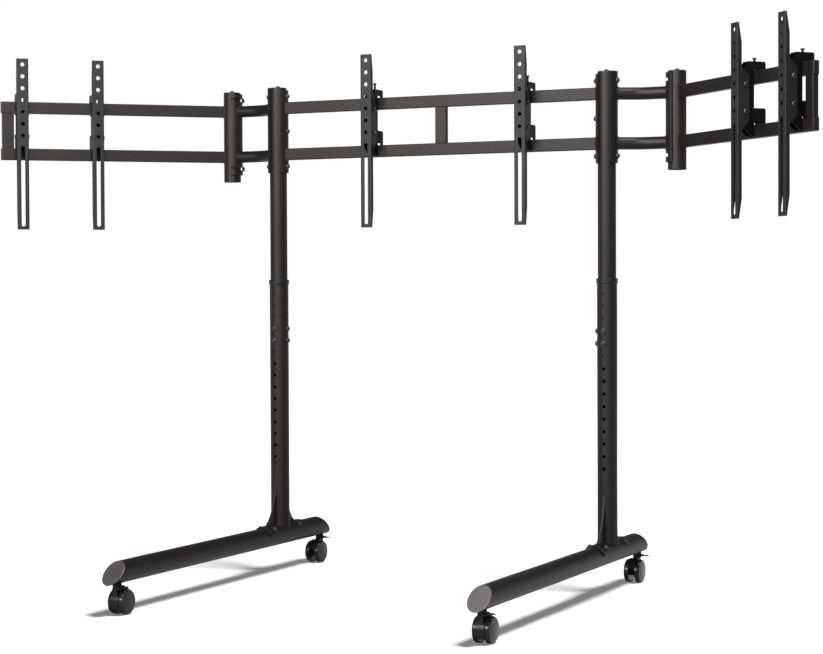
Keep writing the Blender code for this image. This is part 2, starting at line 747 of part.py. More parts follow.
def wing(side, mirror, paint, hinge):
    """The pivot tube with its two rails, the upright near their far end and the plugs in their mouths."""
    frame = wing_frame(mirror)
    bore = UPPER_RADIUS - UPPER_WALL

    def core(bm):
        rod(bm, UPPER_RADIUS, PIVOT_BOTTOM, PIVOT_TOP, TUBE_SIDES, frame)

    def rails(bm):
        for height in (-RAIL_Z, RAIL_Z):
            box_tube(bm, [(UPPER_RADIUS / 2, 0), (WING_LENGTH, 0)], RAIL_DEPTH, frame @ at(0, 0, height))

    def upright(bm):
        strut(bm, WING_LENGTH - END_STRUT_INSET - RAIL_HEIGHT / 2, frame)

    def bores(bm):
        rod(bm, bore, PIVOT_BOTTOM - CUT_REACH, PIVOT_TOP + CUT_REACH, TUBE_SIDES, frame)

    def holes(bm):
        for bolt in pivot_bolt_frames(mirror, 0):
            rod(bm, BOLT_HOLE, bore - CUT_REACH, UPPER_RADIUS + CUT_REACH, BOLT_SIDES, bolt)
        vent(bm, frame @ at(WING_LENGTH - END_STRUT_INSET - RAIL_HEIGHT / 2, 0, 0))
        for height in (-RAIL_Z, RAIL_Z):
            vent(bm, frame @ at(WING_LENGTH - 2 * RAIL_HEIGHT, 0, height))

    def plugs(bm):
        reach = RAIL_DEPTH / 2 - RAIL_WALL / 2
        rise = RAIL_HEIGHT / 2 - RAIL_WALL / 2
        for height in (-RAIL_Z, RAIL_Z):
            x_range = (WING_LENGTH - RAIL_PLUG_DEPTH, WING_LENGTH + RAIL_PLUG_THICKNESS)
            block(bm, x_range, (-reach, reach), (height - rise, height + rise), frame)

    body = piece(f"wing_frame_{side}", core, paint, hinge)
    weld(body, rails)
    weld(body, upright)
    weld(body, plugs)
    cut(body, bores)
    cut(body, holes)


def pivot_bolt(label, frame, paint, hinge):
    """Clamps the wing: through the pivot shell's slot and the pivot tube's wall."""
    def bolt(bm):
        button_bolt(bm, 0, SHELL_WALL + UPPER_WALL + TURN_GAP + BOLT_REACH, frame)

    piece(f"pivot_bolt_{label}", bolt, paint, hinge)


# Screen arms and hook brackets


def arm_outline():
    """The channel's side: shallow at both ends, deep where the bolts hold it."""
    slant = ARM_MIDDLE_DEPTH - ARM_EDGE_DEPTH
    return [
        (0, ARM_BOTTOM),
        (ARM_EDGE_DEPTH, ARM_BOTTOM),
        (ARM_EDGE_DEPTH, ARM_TAPER_BOTTOM),
        (ARM_MIDDLE_DEPTH, ARM_TAPER_BOTTOM + slant),
        (ARM_MIDDLE_DEPTH, ARM_TAPER_TOP - slant),
        (ARM_EDGE_DEPTH, ARM_TAPER_TOP),
        (ARM_EDGE_DEPTH, ARM_TOP),
        (0, ARM_TOP),
    ]


def tilt_bolt_frames(frame):
    """The tilt pivot and the bolt that slides in the hook bracket's curved slot."""
    for height in (TILT_PIVOT_Z, TILT_SLOT_Z):
        yield frame @ at(0, TILT_BOLT_DEPTH, height) @ ACROSS


def screen_arm(label, frame, paint, tilt):
    """A slotted channel with the two bolts that cross it."""
    half = ARM_WIDTH / 2

    def channel(bm):
        prism(bm, arm_outline(), -half, half, frame @ ACROSS)

    def hollow(bm):
        inside = half - ARM_WALL
        z_range = (ARM_BOTTOM - CUT_REACH, ARM_TOP + CUT_REACH)
        block(bm, (-inside, inside), (ARM_WALL, ARM_MIDDLE_DEPTH + CUT_REACH), z_range, frame)

    def holes(bm):
        face = frame @ at(0, 0, ARM_TOP) @ FORWARDS
        for index in range(ARM_HOLE_COUNT):
            down = ARM_FIRST_HOLE + ARM_HOLE_PITCH * index
            rod(bm, ARM_HOLE_RADIUS, -2 * ARM_WALL, ARM_WALL, HOLE_SIDES, face @ at(0, -down, 0))
        outline = slot((0, -ARM_SLOT_TOP), (0, -ARM_SLOT_BOTTOM), ARM_HOLE_RADIUS, HOLE_SIDES // 2)
        prism(bm, outline, -2 * ARM_WALL, ARM_WALL, face)

    def bolts(bm):
        sunk = half - ARM_WALL / 2
        end = half + TILT_HEAD_HEIGHT
        for bolt in tilt_bolt_frames(frame):
            profile = [
                (TILT_HEAD_RADIUS, -end),
                (TILT_HEAD_RADIUS, -sunk),
                (TILT_BOLT_RADIUS, -sunk),
                (TILT_BOLT_RADIUS, sunk),
                (TILT_HEAD_RADIUS, sunk),
                (TILT_HEAD_RADIUS, end),
            ]
            turned(bm, profile, SMALL_SIDES, bolt)

    arm = piece(f"screen_arm_{label}", channel, paint, tilt)
    cut(arm, hollow)
    cut(arm, holes)
    weld(arm, bolts)


def cheek_front(height):
    """Depth that clears the channel's front wall when the arm is tilted as far as it goes."""
    return ARM_WALL + FRONT_MARGIN + max(0.0, TILT_PIVOT_Z - height) * math.tan(TILT_FORWARD)


def hook_outline():
    """The bracket's side: a hook over each rail and a tail in front of the lower one."""
    inner = RAIL_FRONT - RAIL_GAP
    outer = RAIL_BACK + RAIL_GAP
    upper = UPPER_RAIL_TOP
    lower = LOWER_RAIL_TOP
    return [
        (cheek_front(TILT_PIVOT_Z), TILT_PIVOT_Z),
        (cheek_front(TAIL_SHOULDER), TAIL_SHOULDER),
        (TAIL_FRONT, TAIL_BOTTOM),
        (inner, TAIL_BOTTOM),
        (inner, lower + HOOK_HEADROOM),
        (outer, lower + HOOK_HEADROOM),
        (outer, lower - HOOK_LIP),
        (HOOK_BACK, lower - HOOK_LIP),
        (HOOK_BACK, LUG_TOP - HOOK_CHAMFER),
        (HOOK_BACK - HOOK_CHAMFER, LUG_TOP),
        (inner, LUG_TOP),
        (inner, upper + HOOK_HEADROOM),
        (outer, upper + HOOK_HEADROOM),
        (outer, upper - HOOK_LIP),
        (HOOK_BACK, upper - HOOK_LIP),
        (HOOK_BACK, HOOK_TOP - HOOK_CHAMFER),
        (HOOK_BACK - HOOK_CHAMFER, HOOK_TOP),
        (HOOK_FRONT, HOOK_TOP),
        HOOK_NOTCH,
    ]


def hook_bracket(label, frame, paint, slide):
    """A folded bracket: two cheeks, a web against the rails and a bridge for the levelling screw."""
    half = HOOK_WIDTH / 2
    inside = half - HOOK_WALL
    web_front = RAIL_FRONT - RAIL_GAP - HOOK_WALL
    web_back = RAIL_FRONT - RAIL_GAP
    bridge = HOOK_TOP - HOOK_WALL
    low = TAIL_BOTTOM - CUT_REACH
    rear = HOOK_BACK + CUT_REACH
    step = web_back + RAIL_GAP / 2

    def cheeks(bm):
        prism(bm, hook_outline(), -half, half, frame @ ACROSS)

    def hollow(bm):
        outline = [
            (-CUT_REACH, low),
            (web_front, low),
            (web_front, UPPER_RAIL_TOP),
            (step, UPPER_RAIL_TOP),
            (step, low),
            (rear, low),
            (rear, bridge),
            (-CUT_REACH, bridge),
        ]
        prism(bm, outline, -inside, inside, frame @ ACROSS)

    def holes(bm):
        pivot_bolt, sliding_bolt = tilt_bolt_frames(frame)
        reach = half + CUT_REACH
        rod(bm, TILT_HOLE, -reach, reach, SMALL_SIDES, pivot_bolt)
        prism(bm, tilt_slot(), -reach, reach, frame @ ACROSS)
        screw = frame @ at(0, ARM_REACH, 0)
        rod(bm, LEVEL_RADIUS + AXLE_GAP, bridge - CUT_REACH, HOOK_TOP + CUT_REACH, SMALL_SIDES, screw)

    bracket = piece(f"hook_bracket_{label}", cheeks, paint, slide)
    cut(bracket, hollow)
    cut(bracket, holes)


def tilt_slot():
    """The curved slot round the tilt pivot in which the lower bolt moves."""
    centre = (TILT_BOLT_DEPTH, TILT_PIVOT_Z)
    radius = TILT_PIVOT_Z - TILT_SLOT_Z
    down = -math.pi / 2
    start = down - TILT_BACK
    end = down + TILT_FORWARD
    front_end = arc(centre, radius, start, start, 1)[0]
    rear_end = arc(centre, radius, end, end, 1)[0]
    outline = arc(centre, radius + TILT_HOLE, start, end, 1)
    outline += arc(rear_end, TILT_HOLE, end, end + math.pi, 3)[1:-1]
    outline += arc(centre, radius - TILT_HOLE, end, start, 1)
    outline += arc(front_end, TILT_HOLE, start + math.pi, start + 2 * math.pi, 3)[1:-1]
    return outline


def level_screw(label, frame, rise, paint, slide):
    """Stands on the upper rail and carries the hook bracket at the height that it is turned to."""
    tip = UPPER_RAIL_TOP + GAP
    top = HOOK_TOP + rise

    def screw(bm):
        profile = [
            (LEVEL_RADIUS, tip),
            (LEVEL_RADIUS, top - LEVEL_HEAD_HEIGHT),
            (LEVEL_HEAD_RADIUS, top - LEVEL_HEAD_HEIGHT / 2),
            (LEVEL_HEAD_RADIUS, top),
        ]
        turned(bm, profile, SMALL_SIDES, frame @ at(0, ARM_REACH, 0))

    piece(f"level_screw_{label}", screw, paint, slide)


def bracket_set(label, frame, rise, paints, carrier):
    """One screen arm with the bracket and the fasteners that hold it on the rails."""
    def place(y, z):
        return (frame @ Vector((0, y, z)))[:]

    slide = pivot(f"{label}_slide", place(ARM_REACH, UPPER_RAIL_TOP), carrier)
    lift = pivot(f"{label}_lift", place(ARM_REACH, HOOK_TOP), slide)
    tilt = pivot(f"{label}_tilt", place(TILT_BOLT_DEPTH, TILT_PIVOT_Z), lift)
    level_screw(label, frame, rise, paints["bolt"], slide)
    hook_bracket(label, frame, paints["bracket"], lift)
    screen_arm(label, frame, paints["arm"], tilt)


# Casters


def hood_outline():
    """The body between the wheels, wrapped round their front, top and back."""
    axle = (CASTER_TRAIL, WHEEL_RADIUS)
    radius = WHEEL_RADIUS + HOOD_LIFT
    shin = arc(axle, radius, *HOOD_SHIN, 3)
    shoulder = NECK_BOTTOM + HOOD_LIFT
    root = [(HOOD_LIFT / 4 - NECK_RADIUS, shoulder), (NECK_RADIUS, shoulder)]
    crown = arc(axle, radius, *HOOD_CROWN, 5)
    heel = (CASTER_TRAIL + 2 * AXLE_RADIUS, WHEEL_RADIUS - 2 * AXLE_RADIUS)
    toe = (CASTER_TRAIL - 2 * AXLE_RADIUS, WHEEL_RADIUS - 3 * AXLE_RADIUS)
    return shin + root + crown + [heel, toe]


def caster_hood(label, frame, paint, swivel):
    """Body, neck, stem, axle and the two ears that hold the brake lever, moulded and pressed as one."""
    half = HOOD_WIDTH / 2
    top = LEG_CLEARANCE - GAP
    slot_half = LEVER_HALF_WIDTH + EAR_GAP
    ear_half = slot_half + EAR_THICKNESS
    across_axle = frame @ at(0, CASTER_TRAIL, WHEEL_RADIUS) @ ACROSS

    def body(bm):
        prism(bm, hood_outline(), -half, half, frame @ ACROSS)

    def neck(bm):
        rod(bm, NECK_RADIUS, NECK_BOTTOM, top, NECK_SIDES, frame)

    def stem(bm):
        rod(bm, STEM_RADIUS, NECK_BOTTOM + HOOD_LIFT, STEM_TOP, BOLT_SIDES, frame)

    def ears(bm):
        x_range = (LEVER_HINGE_X - 2 * EAR_MARGIN, LEVER_HINGE_X + EAR_MARGIN)
        z_range = (LEVER_HINGE_Z - EAR_MARGIN, LEVER_HINGE_Z + EAR_MARGIN)
        block(bm, x_range, (-ear_half, ear_half), z_range, frame)

    def lever_room(bm):
        low = LEVER_HINGE_X - KNUCKLE_RADIUS - EAR_GAP
        x_range = (low, LEVER_HINGE_X + 2 * EAR_MARGIN)
        z_range = (LEVER_HINGE_Z - 2 * EAR_MARGIN, LEVER_HINGE_Z + 2 * EAR_MARGIN)
        block(bm, x_range, (-slot_half, slot_half), z_range, frame)

    def axle(bm):
        reach = half + HOOD_SIDE_GAP + AXLE_DEPTH
        rod(bm, AXLE_RADIUS, -reach, reach, HOLE_SIDES, across_axle)

    def holes(bm):
        hinge = frame @ at(LEVER_HINGE_X, 0, LEVER_HINGE_Z) @ FORWARDS
        rod(bm, LEVER_PIN_RADIUS + AXLE_GAP, -2 * ear_half, 2 * ear_half, SMALL_SIDES, hinge)

    hood = piece(f"caster_hood_{label}", body, paint, swivel)
    weld(hood, neck)
    weld(hood, stem)
    weld(hood, ears)
    weld(hood, axle)
    cut(hood, lever_room)
    cut(hood, holes)


def caster_wheel(label, frame, direction, paint, axle):
    """One of the two wheels, with a blind bore for the axle and a flat facet on the floor."""
    inner = HOOD_WIDTH / 2 + HOOD_SIDE_GAP
    outer = inner + WHEEL_WIDTH
    tread = WHEEL_RADIUS / FLAT
    sideways = Matrix.Scale(direction, 4, Vector((1, 0, 0)))
    hub = frame @ sideways @ at(0, CASTER_TRAIL, WHEEL_RADIUS) @ ACROSS
    profile = [
        (tread, inner),
        (tread, inner + WHEEL_TREAD),
        (tread - WHEEL_SHOULDER, outer - WHEEL_SHOULDER),
        (WHEEL_FACE_RADIUS, outer),
    ]

    def body(bm):
        turned(bm, profile, TUBE_SIDES, hub)

    def bore(bm):
        radius = clearing(AXLE_RADIUS, AXLE_GAP, HOLE_SIDES)
        rod(bm, radius, inner - AXLE_DEPTH, inner + AXLE_DEPTH + GAP, HOLE_SIDES, hub)

    wheel = piece(f"caster_wheel_{label}", body, paint, axle)
    cut(wheel, bore)


def brake_lever(label, frame, paint, hinge):
    slot_half = LEVER_HALF_WIDTH + EAR_GAP
    ear_half = slot_half + EAR_THICKNESS

    def knuckle(bm):
        pin = [
            (LEVER_PIN_RADIUS, -ear_half),
            (LEVER_PIN_RADIUS, -LEVER_HALF_WIDTH),
            (KNUCKLE_RADIUS, -LEVER_HALF_WIDTH),
            (KNUCKLE_RADIUS, LEVER_HALF_WIDTH),
            (LEVER_PIN_RADIUS, LEVER_HALF_WIDTH),
            (LEVER_PIN_RADIUS, ear_half),
        ]
        turned(bm, pin, SMALL_SIDES, frame @ at(LEVER_HINGE_X, 0, LEVER_HINGE_Z) @ FORWARDS)

    def pedal(bm):
        width = LEVER_HALF_WIDTH - GAP
        outline = [
            (0, -width),
            (LEVER_LENGTH * LEVER_SHOULDER, -width),
            (LEVER_LENGTH, -LEVER_TIP_HALF_WIDTH),
            (LEVER_LENGTH, LEVER_TIP_HALF_WIDTH),
            (LEVER_LENGTH * LEVER_SHOULDER, width),
            (0, width),
        ]
        half = LEVER_THICKNESS / 2
        prism(bm, outline, -half, half, frame @ at(LEVER_HINGE_X, 0, LEVER_HINGE_Z))

    lever = piece(f"brake_lever_{label}", knuckle, paint, hinge)
    weld(lever, pedal)


def caster(label, frame, paints, base):
    """One caster; its two wheels trail along the frame's +Y."""
    def place(x, y, z):
        return (frame @ Vector((x, y, z)))[:]

    swivel = pivot(f"{label}_swivel", place(0, 0, LEG_CLEARANCE), base)
    hinge = pivot(f"{label}_lever_hinge", place(LEVER_HINGE_X, 0, LEVER_HINGE_Z), swivel)
    caster_hood(label, frame, paints["plastic"], swivel)
    for hand, direction in (("left", -1), ("right", 1)):
        middle = direction * (HOOD_WIDTH / 2 + HOOD_SIDE_GAP + WHEEL_WIDTH / 2)
        axle = pivot(f"{label}_axle_{hand}", place(middle, CASTER_TRAIL, WHEEL_RADIUS), swivel)
        caster_wheel(f"{label}_{hand}", frame, direction, paints["wheel"], axle)
    brake_lever(label, frame, paints["plastic"], hinge)


def build():
    clear_scene()
    paints = {
        "frame": finish("satin_black_powder", (0.030, 0.029, 0.030), 0.42, 0.0),
        "arm": finish("satin_charcoal_powder", (0.045, 0.043, 0.044), 0.45, 0.0),
        "bracket": finish("black_powder", (0.012, 0.012, 0.013), 0.45, 0.0),
        "bolt": finish("black_oxide_steel", (0.030, 0.030, 0.032), 0.35, 0.7),
        "plastic": finish("black_plastic", (0.018, 0.018, 0.019), 0.50, 0.0),
        "cap": finish("grey_black_plastic", (0.060, 0.058, 0.060), 0.55, 0.0),
        "wheel": finish("caster_nylon", (0.035, 0.034, 0.036), 0.40, 0.0),
    }
    upper = pivot("upper_frame", (0, POST_Y, FRAME_Z))
    upper_parts(paints, upper)
    for side, mirror in SIDES.items():
        foot(side, mirror, paints)
        wing_parts(side, mirror, paints, upper)


def upper_parts(paints, upper):
    centre_frame(paints["frame"], upper)
    for place, x in CENTRE_ARMS.items():
        frame = at(x, POST_Y - ARM_REACH, FRAME_Z)
        bracket_set(f"centre_{place}", frame, CENTRE_LEVEL_RISE, paints, upper)
    for side, mirror in SIDES.items():
        upper_post(side, mirror, paints["frame"], upper)
        tube_cap(f"post_cap_{side}", FRAME_Z + POST_TOP, post_frame(mirror), paints["plastic"], upper)
        side_arm(side, mirror, paints["frame"], upper)


def foot(side, mirror, paints):
    base = pivot(f"foot_{side}", (mirror @ Vector((POST_X, POST_Y, 0)))[:])
    leg_tube(side, mirror, paints["frame"], base)
    leg_cap(f"{side}_front", -1, mirror, paints["cap"], base)
    leg_cap(f"{side}_rear", 1, mirror, paints["cap"], base)
    lower_post(side, mirror, paints["frame"], base)
    post_collar(side, mirror, paints["plastic"], base)
    x = (mirror @ Vector((POST_X, 0, 0))).x
    forwards = Matrix.Scale(-1, 4, Vector((0, 1, 0)))
    caster(f"{side}_front", at(x, CASTER_FRONT_Y, 0), paints, base)
    caster(f"{side}_rear", at(x, CASTER_REAR_Y, 0) @ forwards, paints, base)


def wing_parts(side, mirror, paints, upper):
    hinge = pivot(f"wing_hinge_{side}", (mirror @ Vector((PIVOT_X, PIVOT_Y, FRAME_Z)))[:], upper)
    wing(side, mirror, paints["frame"], hinge)
    tube_cap(f"wing_cap_{side}", PIVOT_TOP, wing_frame(mirror), paints["plastic"], hinge)
    lower_bolt, upper_bolt = pivot_bolt_frames(mirror, PIVOT_SHELL_OUTER + GAP)
    pivot_bolt(f"{side}_lower", lower_bolt, paints["bolt"], hinge)
    pivot_bolt(f"{side}_upper", upper_bolt, paints["bolt"], hinge)
    for place, reach in (("inner", WING_INNER_ARMS[side]), ("outer", WING_LENGTH - WING_OUTER_ARMS[side])):
        frame = wing_frame(mirror) @ at(reach, -ARM_REACH, 0)
        bracket_set(f"{side}_{place}", frame, WING_LEVEL_RISE, paints, hinge)


build()
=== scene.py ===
"""Looks for a rolling stand for three screens: powder-coated tube, pressed brackets and plastic casters."""

import json
import math

import bpy
from mathutils import Matrix, Vector


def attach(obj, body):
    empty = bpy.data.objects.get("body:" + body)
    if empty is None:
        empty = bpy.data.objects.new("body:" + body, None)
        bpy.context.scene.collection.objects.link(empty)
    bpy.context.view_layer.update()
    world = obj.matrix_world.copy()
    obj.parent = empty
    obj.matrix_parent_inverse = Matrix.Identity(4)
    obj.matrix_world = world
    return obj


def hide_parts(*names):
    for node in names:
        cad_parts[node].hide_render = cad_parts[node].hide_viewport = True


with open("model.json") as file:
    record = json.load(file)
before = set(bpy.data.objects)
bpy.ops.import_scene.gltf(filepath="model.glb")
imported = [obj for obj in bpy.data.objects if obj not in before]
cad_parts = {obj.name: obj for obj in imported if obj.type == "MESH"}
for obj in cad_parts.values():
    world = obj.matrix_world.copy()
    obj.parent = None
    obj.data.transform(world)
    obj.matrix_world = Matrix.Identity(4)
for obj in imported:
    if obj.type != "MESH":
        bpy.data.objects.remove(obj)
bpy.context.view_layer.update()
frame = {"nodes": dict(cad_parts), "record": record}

bl_info = {
    "name": "Triple Screen Floor Stand",
    "version": (1, 0, 0),
    "blender": (4, 5, 0),
    "location": "3D View > Sidebar > Stand",
    "description": "Builds the visible pieces, finishes and studio of a rolling stand for three screens",
    "category": "Add Mesh",
}

# Sizes of the stand in metres, as in its solids; only the gussets and the tilt bolts' shanks are smaller
GAP = 0.0003
POST_X = 0.450
POST_Y = 0.275
LEG_LENGTH = 1.040
LEG_RADIUS = 0.0254
LEG_WALL = 0.002
LEG_CLEARANCE = 0.0725
LEG_Z = LEG_CLEARANCE + LEG_RADIUS * math.cos(math.pi / 16)
LEG_CAP_THICKNESS = 0.0035
UPPER_RADIUS = 0.0220
UPPER_WALL = 0.002
UPPER_BOTTOM = 0.565
LOWER_BORE = UPPER_RADIUS + 0.00035
LOWER_WALL = 0.0018
LOWER_RADIUS = LOWER_BORE + LOWER_WALL
LOWER_TOP = 0.7545
HOLE_COUNT = 15
HOLE_PITCH = 0.030
TOP_HOLE_Z = 0.721
BOLTED_HOLES = (3, 4)
SADDLE_LENGTH = 0.190
SADDLE_WALL = 0.004
SADDLE_OUTER = LEG_RADIUS + GAP + SADDLE_WALL
SADDLE_SPREAD = math.radians(78.75)
SADDLE_BOLT_Y = 0.066
SADDLE_BOLT_ANGLE = math.radians(45)
GUSSET_THICKNESS = 0.004
GUSSET_TOP = 0.235
FRONT_GUSSET_REACH = 0.080
REAR_GUSSET_REACH = 0.075
GUSSET_CURVE = 1.6
SIDE_GUSSET_TOP = 0.158
SIDE_GUSSET_REACH = SADDLE_OUTER * 0.86
SIDE_GUSSET_SHOULDER = LEG_Z + SADDLE_OUTER * 0.95
SIDE_GUSSET_FOOT = LEG_Z + SADDLE_OUTER * 0.42
COLLAR_RADIUS = 0.026
COLLAR_HEIGHT = 0.0125
COLLAR_LIP = 0.0027
FRAME_Z = 1.140
RAIL_Z = 0.0595
RAIL_HEIGHT = 0.030
RAIL_DEPTH = 0.015
SHELL_WALL = 0.0045
POST_SPREAD = math.radians(56.25)
PIVOT_SPREAD = math.radians(78.75)
POST_SHELL_OUTER = UPPER_RADIUS + GAP + SHELL_WALL
PIVOT_SHELL_INNER = UPPER_RADIUS + 0.0006
PIVOT_SHELL_OUTER = PIVOT_SHELL_INNER + SHELL_WALL
SHELL_BOTTOM = -0.107
INNER_SHELL_TOP = 0.106
OUTER_SHELL_TOP = 0.112
POST_TOP = 0.109
CLAMP_BOLT_Z = 0.090
STRUT_X = 0.015
PIVOT_OUT = 0.162
PIVOT_BACK = 0.042
BEND_OUT = 0.071
ARM_TUBE_RADIUS = 0.015
WING_ANGLE = math.radians(43)
WING_LIMIT = math.radians(60)
WING_LENGTH = 0.600
PIVOT_BOTTOM = -0.125
PIVOT_TOP = 0.107
SLOT_HALF = 0.0044
RAIL_FRONT = 0.0445
ARM_REACH = RAIL_FRONT + RAIL_DEPTH / 2
ARM_WIDTH = 0.030
ARM_TOP = 0.180
ARM_BOTTOM = -0.2525
ARM_WALL = 0.0025
ARM_EDGE_DEPTH = 0.011
ARM_END_DEPTH = 0.004
ARM_END_TAPER = 0.045
ARM_MIDDLE_DEPTH = 0.030
ARM_TAPER_TOP = 0.082
ARM_TAPER_BOTTOM = -0.058
ARM_HOLE_RADIUS = 0.005
ARM_HOLE_COUNT = 7
ARM_HOLE_PITCH = 0.030
ARM_FIRST_HOLE = 0.015
ARM_SLOT_TOP = 0.2258
ARM_SLOT_BOTTOM = 0.4195
TILT_BOLT_DEPTH = 0.021
TILT_PIVOT_Z = 0.0435
TILT_SLOT_Z = -0.016
TILT_SHANK_RADIUS = 0.0026
TILT_HEAD_RADIUS = 0.0055
TILT_HEAD_HEIGHT = 0.0035
HOOK_TOP = 0.095
LEVEL_RADIUS = 0.003
LEVEL_HEAD_RADIUS = 0.0048
LEVEL_HEAD_HEIGHT = 0.004
CENTRE_LEVEL_RISE = 0.017
WING_LEVEL_RISE = 0.009
CENTRE_ARMS = {"left": -0.170, "right": 0.246}
WING_ARMS = {"left": {"inner": 0.361, "outer": 0.552}, "right": {"inner": 0.352, "outer": 0.548}}
BOLT_HEAD_RADIUS = 0.0075
BOLT_CROWN_RADIUS = 0.0058
BOLT_HEAD_HEIGHT = 0.0055
CASTER_FRONT_Y = -0.480
CASTER_REAR_Y = 0.488
WHEEL_RADIUS = 0.029
WHEEL_WIDTH = 0.014
CASTER_TRAIL = 0.018
HOOD_WIDTH = 0.013
FENDER_WIDTH = 0.021
HOOD_SIDE_GAP = 0.001
HOOD_LIFT = 0.0025
NECK_RADIUS = 0.010
NECK_BOTTOM = 0.0597
AXLE_RADIUS = 0.004
LEVER_HINGE_X = 0.0125
LEVER_HINGE_Z = 0.0655
LEVER_LENGTH = 0.0185
LEVER_HALF_WIDTH = 0.005
LEVER_TIP_HALF_WIDTH = 0.0015
LEVER_THICKNESS = 0.0025
KNUCKLE_RADIUS = 0.0028

# Details that only the looks have: lengths in metres, and shares and counts without a unit
TUBE_RIM = 0.0004
SHEET_RIM = 0.0007
SADDLE_RIM = 0.0009
ARM_RIM = 0.0004
PLASTIC_RIM = 0.0009
LEG_CAP_RIM = 0.0011
POST_HOLE_RADIUS = 0.0041
WASHER_LOW = -0.0004
WASHER_TOP = 0.0014
WASHER_BORE = 0.003
CROWN_LOW = 0.0018
CROWN_FLAT_RADIUS = 0.0031
BOLT_SOCKET_DEPTH = 0.0026
TILT_SOCKET_RADIUS = 0.0022
LEVEL_SOCKET_RADIUS = 0.0024
LEVEL_SOCKET_DEPTH = 0.002
HEXAGON = 6
CAP_LOW = 0.0003
CAP_HIGH = 0.0033
CAP_NUB = [(0.0085, CAP_HIGH), (0.0070, 0.0040), (0.0060, 0.0044), (0.0048, 0.0070), (0.0036, 0.0081),
           (0, 0.0083)]
UPRIGHT_INSET = 0.0004
ARM_BEND = 0.022
ARM_CUT_RADIUS = UPPER_RADIUS + 0.002
ARM_CUT_REACH = 0.030
STRUT_WELD_SHARE = 0.6
ARM_WELD_SHARE = 1.8
PLUG_DEPTH = 0.004
PLUG_LIP = 0.002
PLUG_HALF_WIDTH = 0.0068
PLUG_HALF_HEIGHT = 0.0143
PLUG_RIM = 0.0012
THREAD_PITCH = 0.001
THREAD_DEPTH = 0.0004
AXLE_HALF_LENGTH = 0.0165
# Degrees round the axle, from the side that trails
HOOD_ARCS = ((212, 152), (100, 24))
FENDER_ARCS = ((212, 150), (98, 24))
HOOD_RIM = 0.0014
FENDER_GAP = 0.0008
FENDER_RIM = 0.0006
LEVER_RIM = 0.0006
WHEEL_RIM = 0.0042
PIN_RADIUS = 0.0014
PIN_HALF_LENGTH = 0.0083
EAR_INNER = 0.0053
EAR_HALF_HEIGHT = 0.003
EAR_RIM = 0.0008
RIB_SHARES = (0.40, 0.52, 0.64)
RIB_WIDTH = 0.0009
RIB_HEIGHT = 0.0004
RIB_SINK = 0.0002

BEVEL_ANGLE = math.radians(32)
SMOOTH_ANGLE = math.radians(34)
MERGE_DISTANCE = 0.00001
RAIL_LEVELS = (-RAIL_Z, RAIL_Z)
CLAMP_LEVELS = (-CLAMP_BOLT_Z, CLAMP_BOLT_Z)

SIDES = {"left": Matrix.Scale(-1, 4, Vector((1, 0, 0))), "right": Matrix.Identity(4)}
ACROSS = Matrix(((0, 0, 1, 0), (1, 0, 0, 0), (0, 1, 0, 0), (0, 0, 0, 1)))
FORWARDS = Matrix.Rotation(math.radians(90), 4, "X")
INWARDS = Matrix.Rotation(math.radians(-90), 4, "Y")

CARRIERS = {node: body for body, nodes in frame["record"]["behaviour"]["bodies"].items() for node in nodes}
PAINTS = {}
# Each finish: material's name, roughness, grains per metre, grain's depth, shine, metallic, tint of the shine
FINISHES = {
    "frame coat": ("satin black powder coat", 0.46, 900, 0.00020, 0.12, 0.0, (1, 0.92, 0.92)),
    "arm coat": ("charcoal powder coat", 0.46, 1000, 0.00025, 0.09, 0.0, (1, 1, 1)),
    "bracket coat": ("black powder coat", 0.42, 1000, 0.00025, 0.03, 0.0, (1, 1, 1)),
    "screw steel": ("black oxide steel", 0.34, 1800, 0.00012, 0.14, 0.4, (1, 1, 1)),
    "black plastic": ("moulded black plastic", 0.30, 1500, 0.00015, 0.10, 0.0, (1, 1, 1)),
    "grey plastic": ("grey cap plastic", 0.32, 1300, 0.00006, 0.34, 0.0, (1, 1, 1)),
    "wheel nylon": ("black nylon", 0.20, 700, 0.00006, 0.14, 0.0, (1, 1, 1)),
}
CLOUDS_PER_METRE = 14.0
CLOUD_SPREAD = 0.18
GLOSS_SPREAD = 0.05
GRAIN_STRENGTH = 0.35

# The studio, in metres; the floor whitens between two distances from its middle, and the pale backdrop
# ends between two slopes of the view
FLOOR_SIZE = 60
FLOOR_LIFT_SPAN = (0.7, 3.6)
HORIZON_BAND = (0.15, 0.30)
# Each lamp: place, aim, width, height; the front lamps don't light the floor
FRONT_LAMPS = {
    "front": ((-1.1, -4.2, 1.9), (0.0, 0.2, 1.2), 3.2, 1.1),
    "side": ((2.2, -4.0, 2.1), (-1.3, -0.1, 1.3), 1.3, 0.9),
    "soft": ((0.2, -1.6, 2.5), (0.0, 0.2, 1.2), 1.2, 1.0),
}
TOP_LAMP = ((2.3, -0.2, 6.0), (0.0, -0.1, 0.0), 1.7, 1.7)
CAMERA_PLACE = (2.1287, -4.3147, 0.7566)
CAMERA_YAW = math.radians(25.60)
CAMERA_PITCH = math.radians(90 - 1.34)
CAMERA_ROLL = math.radians(-0.247)
CAMERA_LENS_MM = 88.74


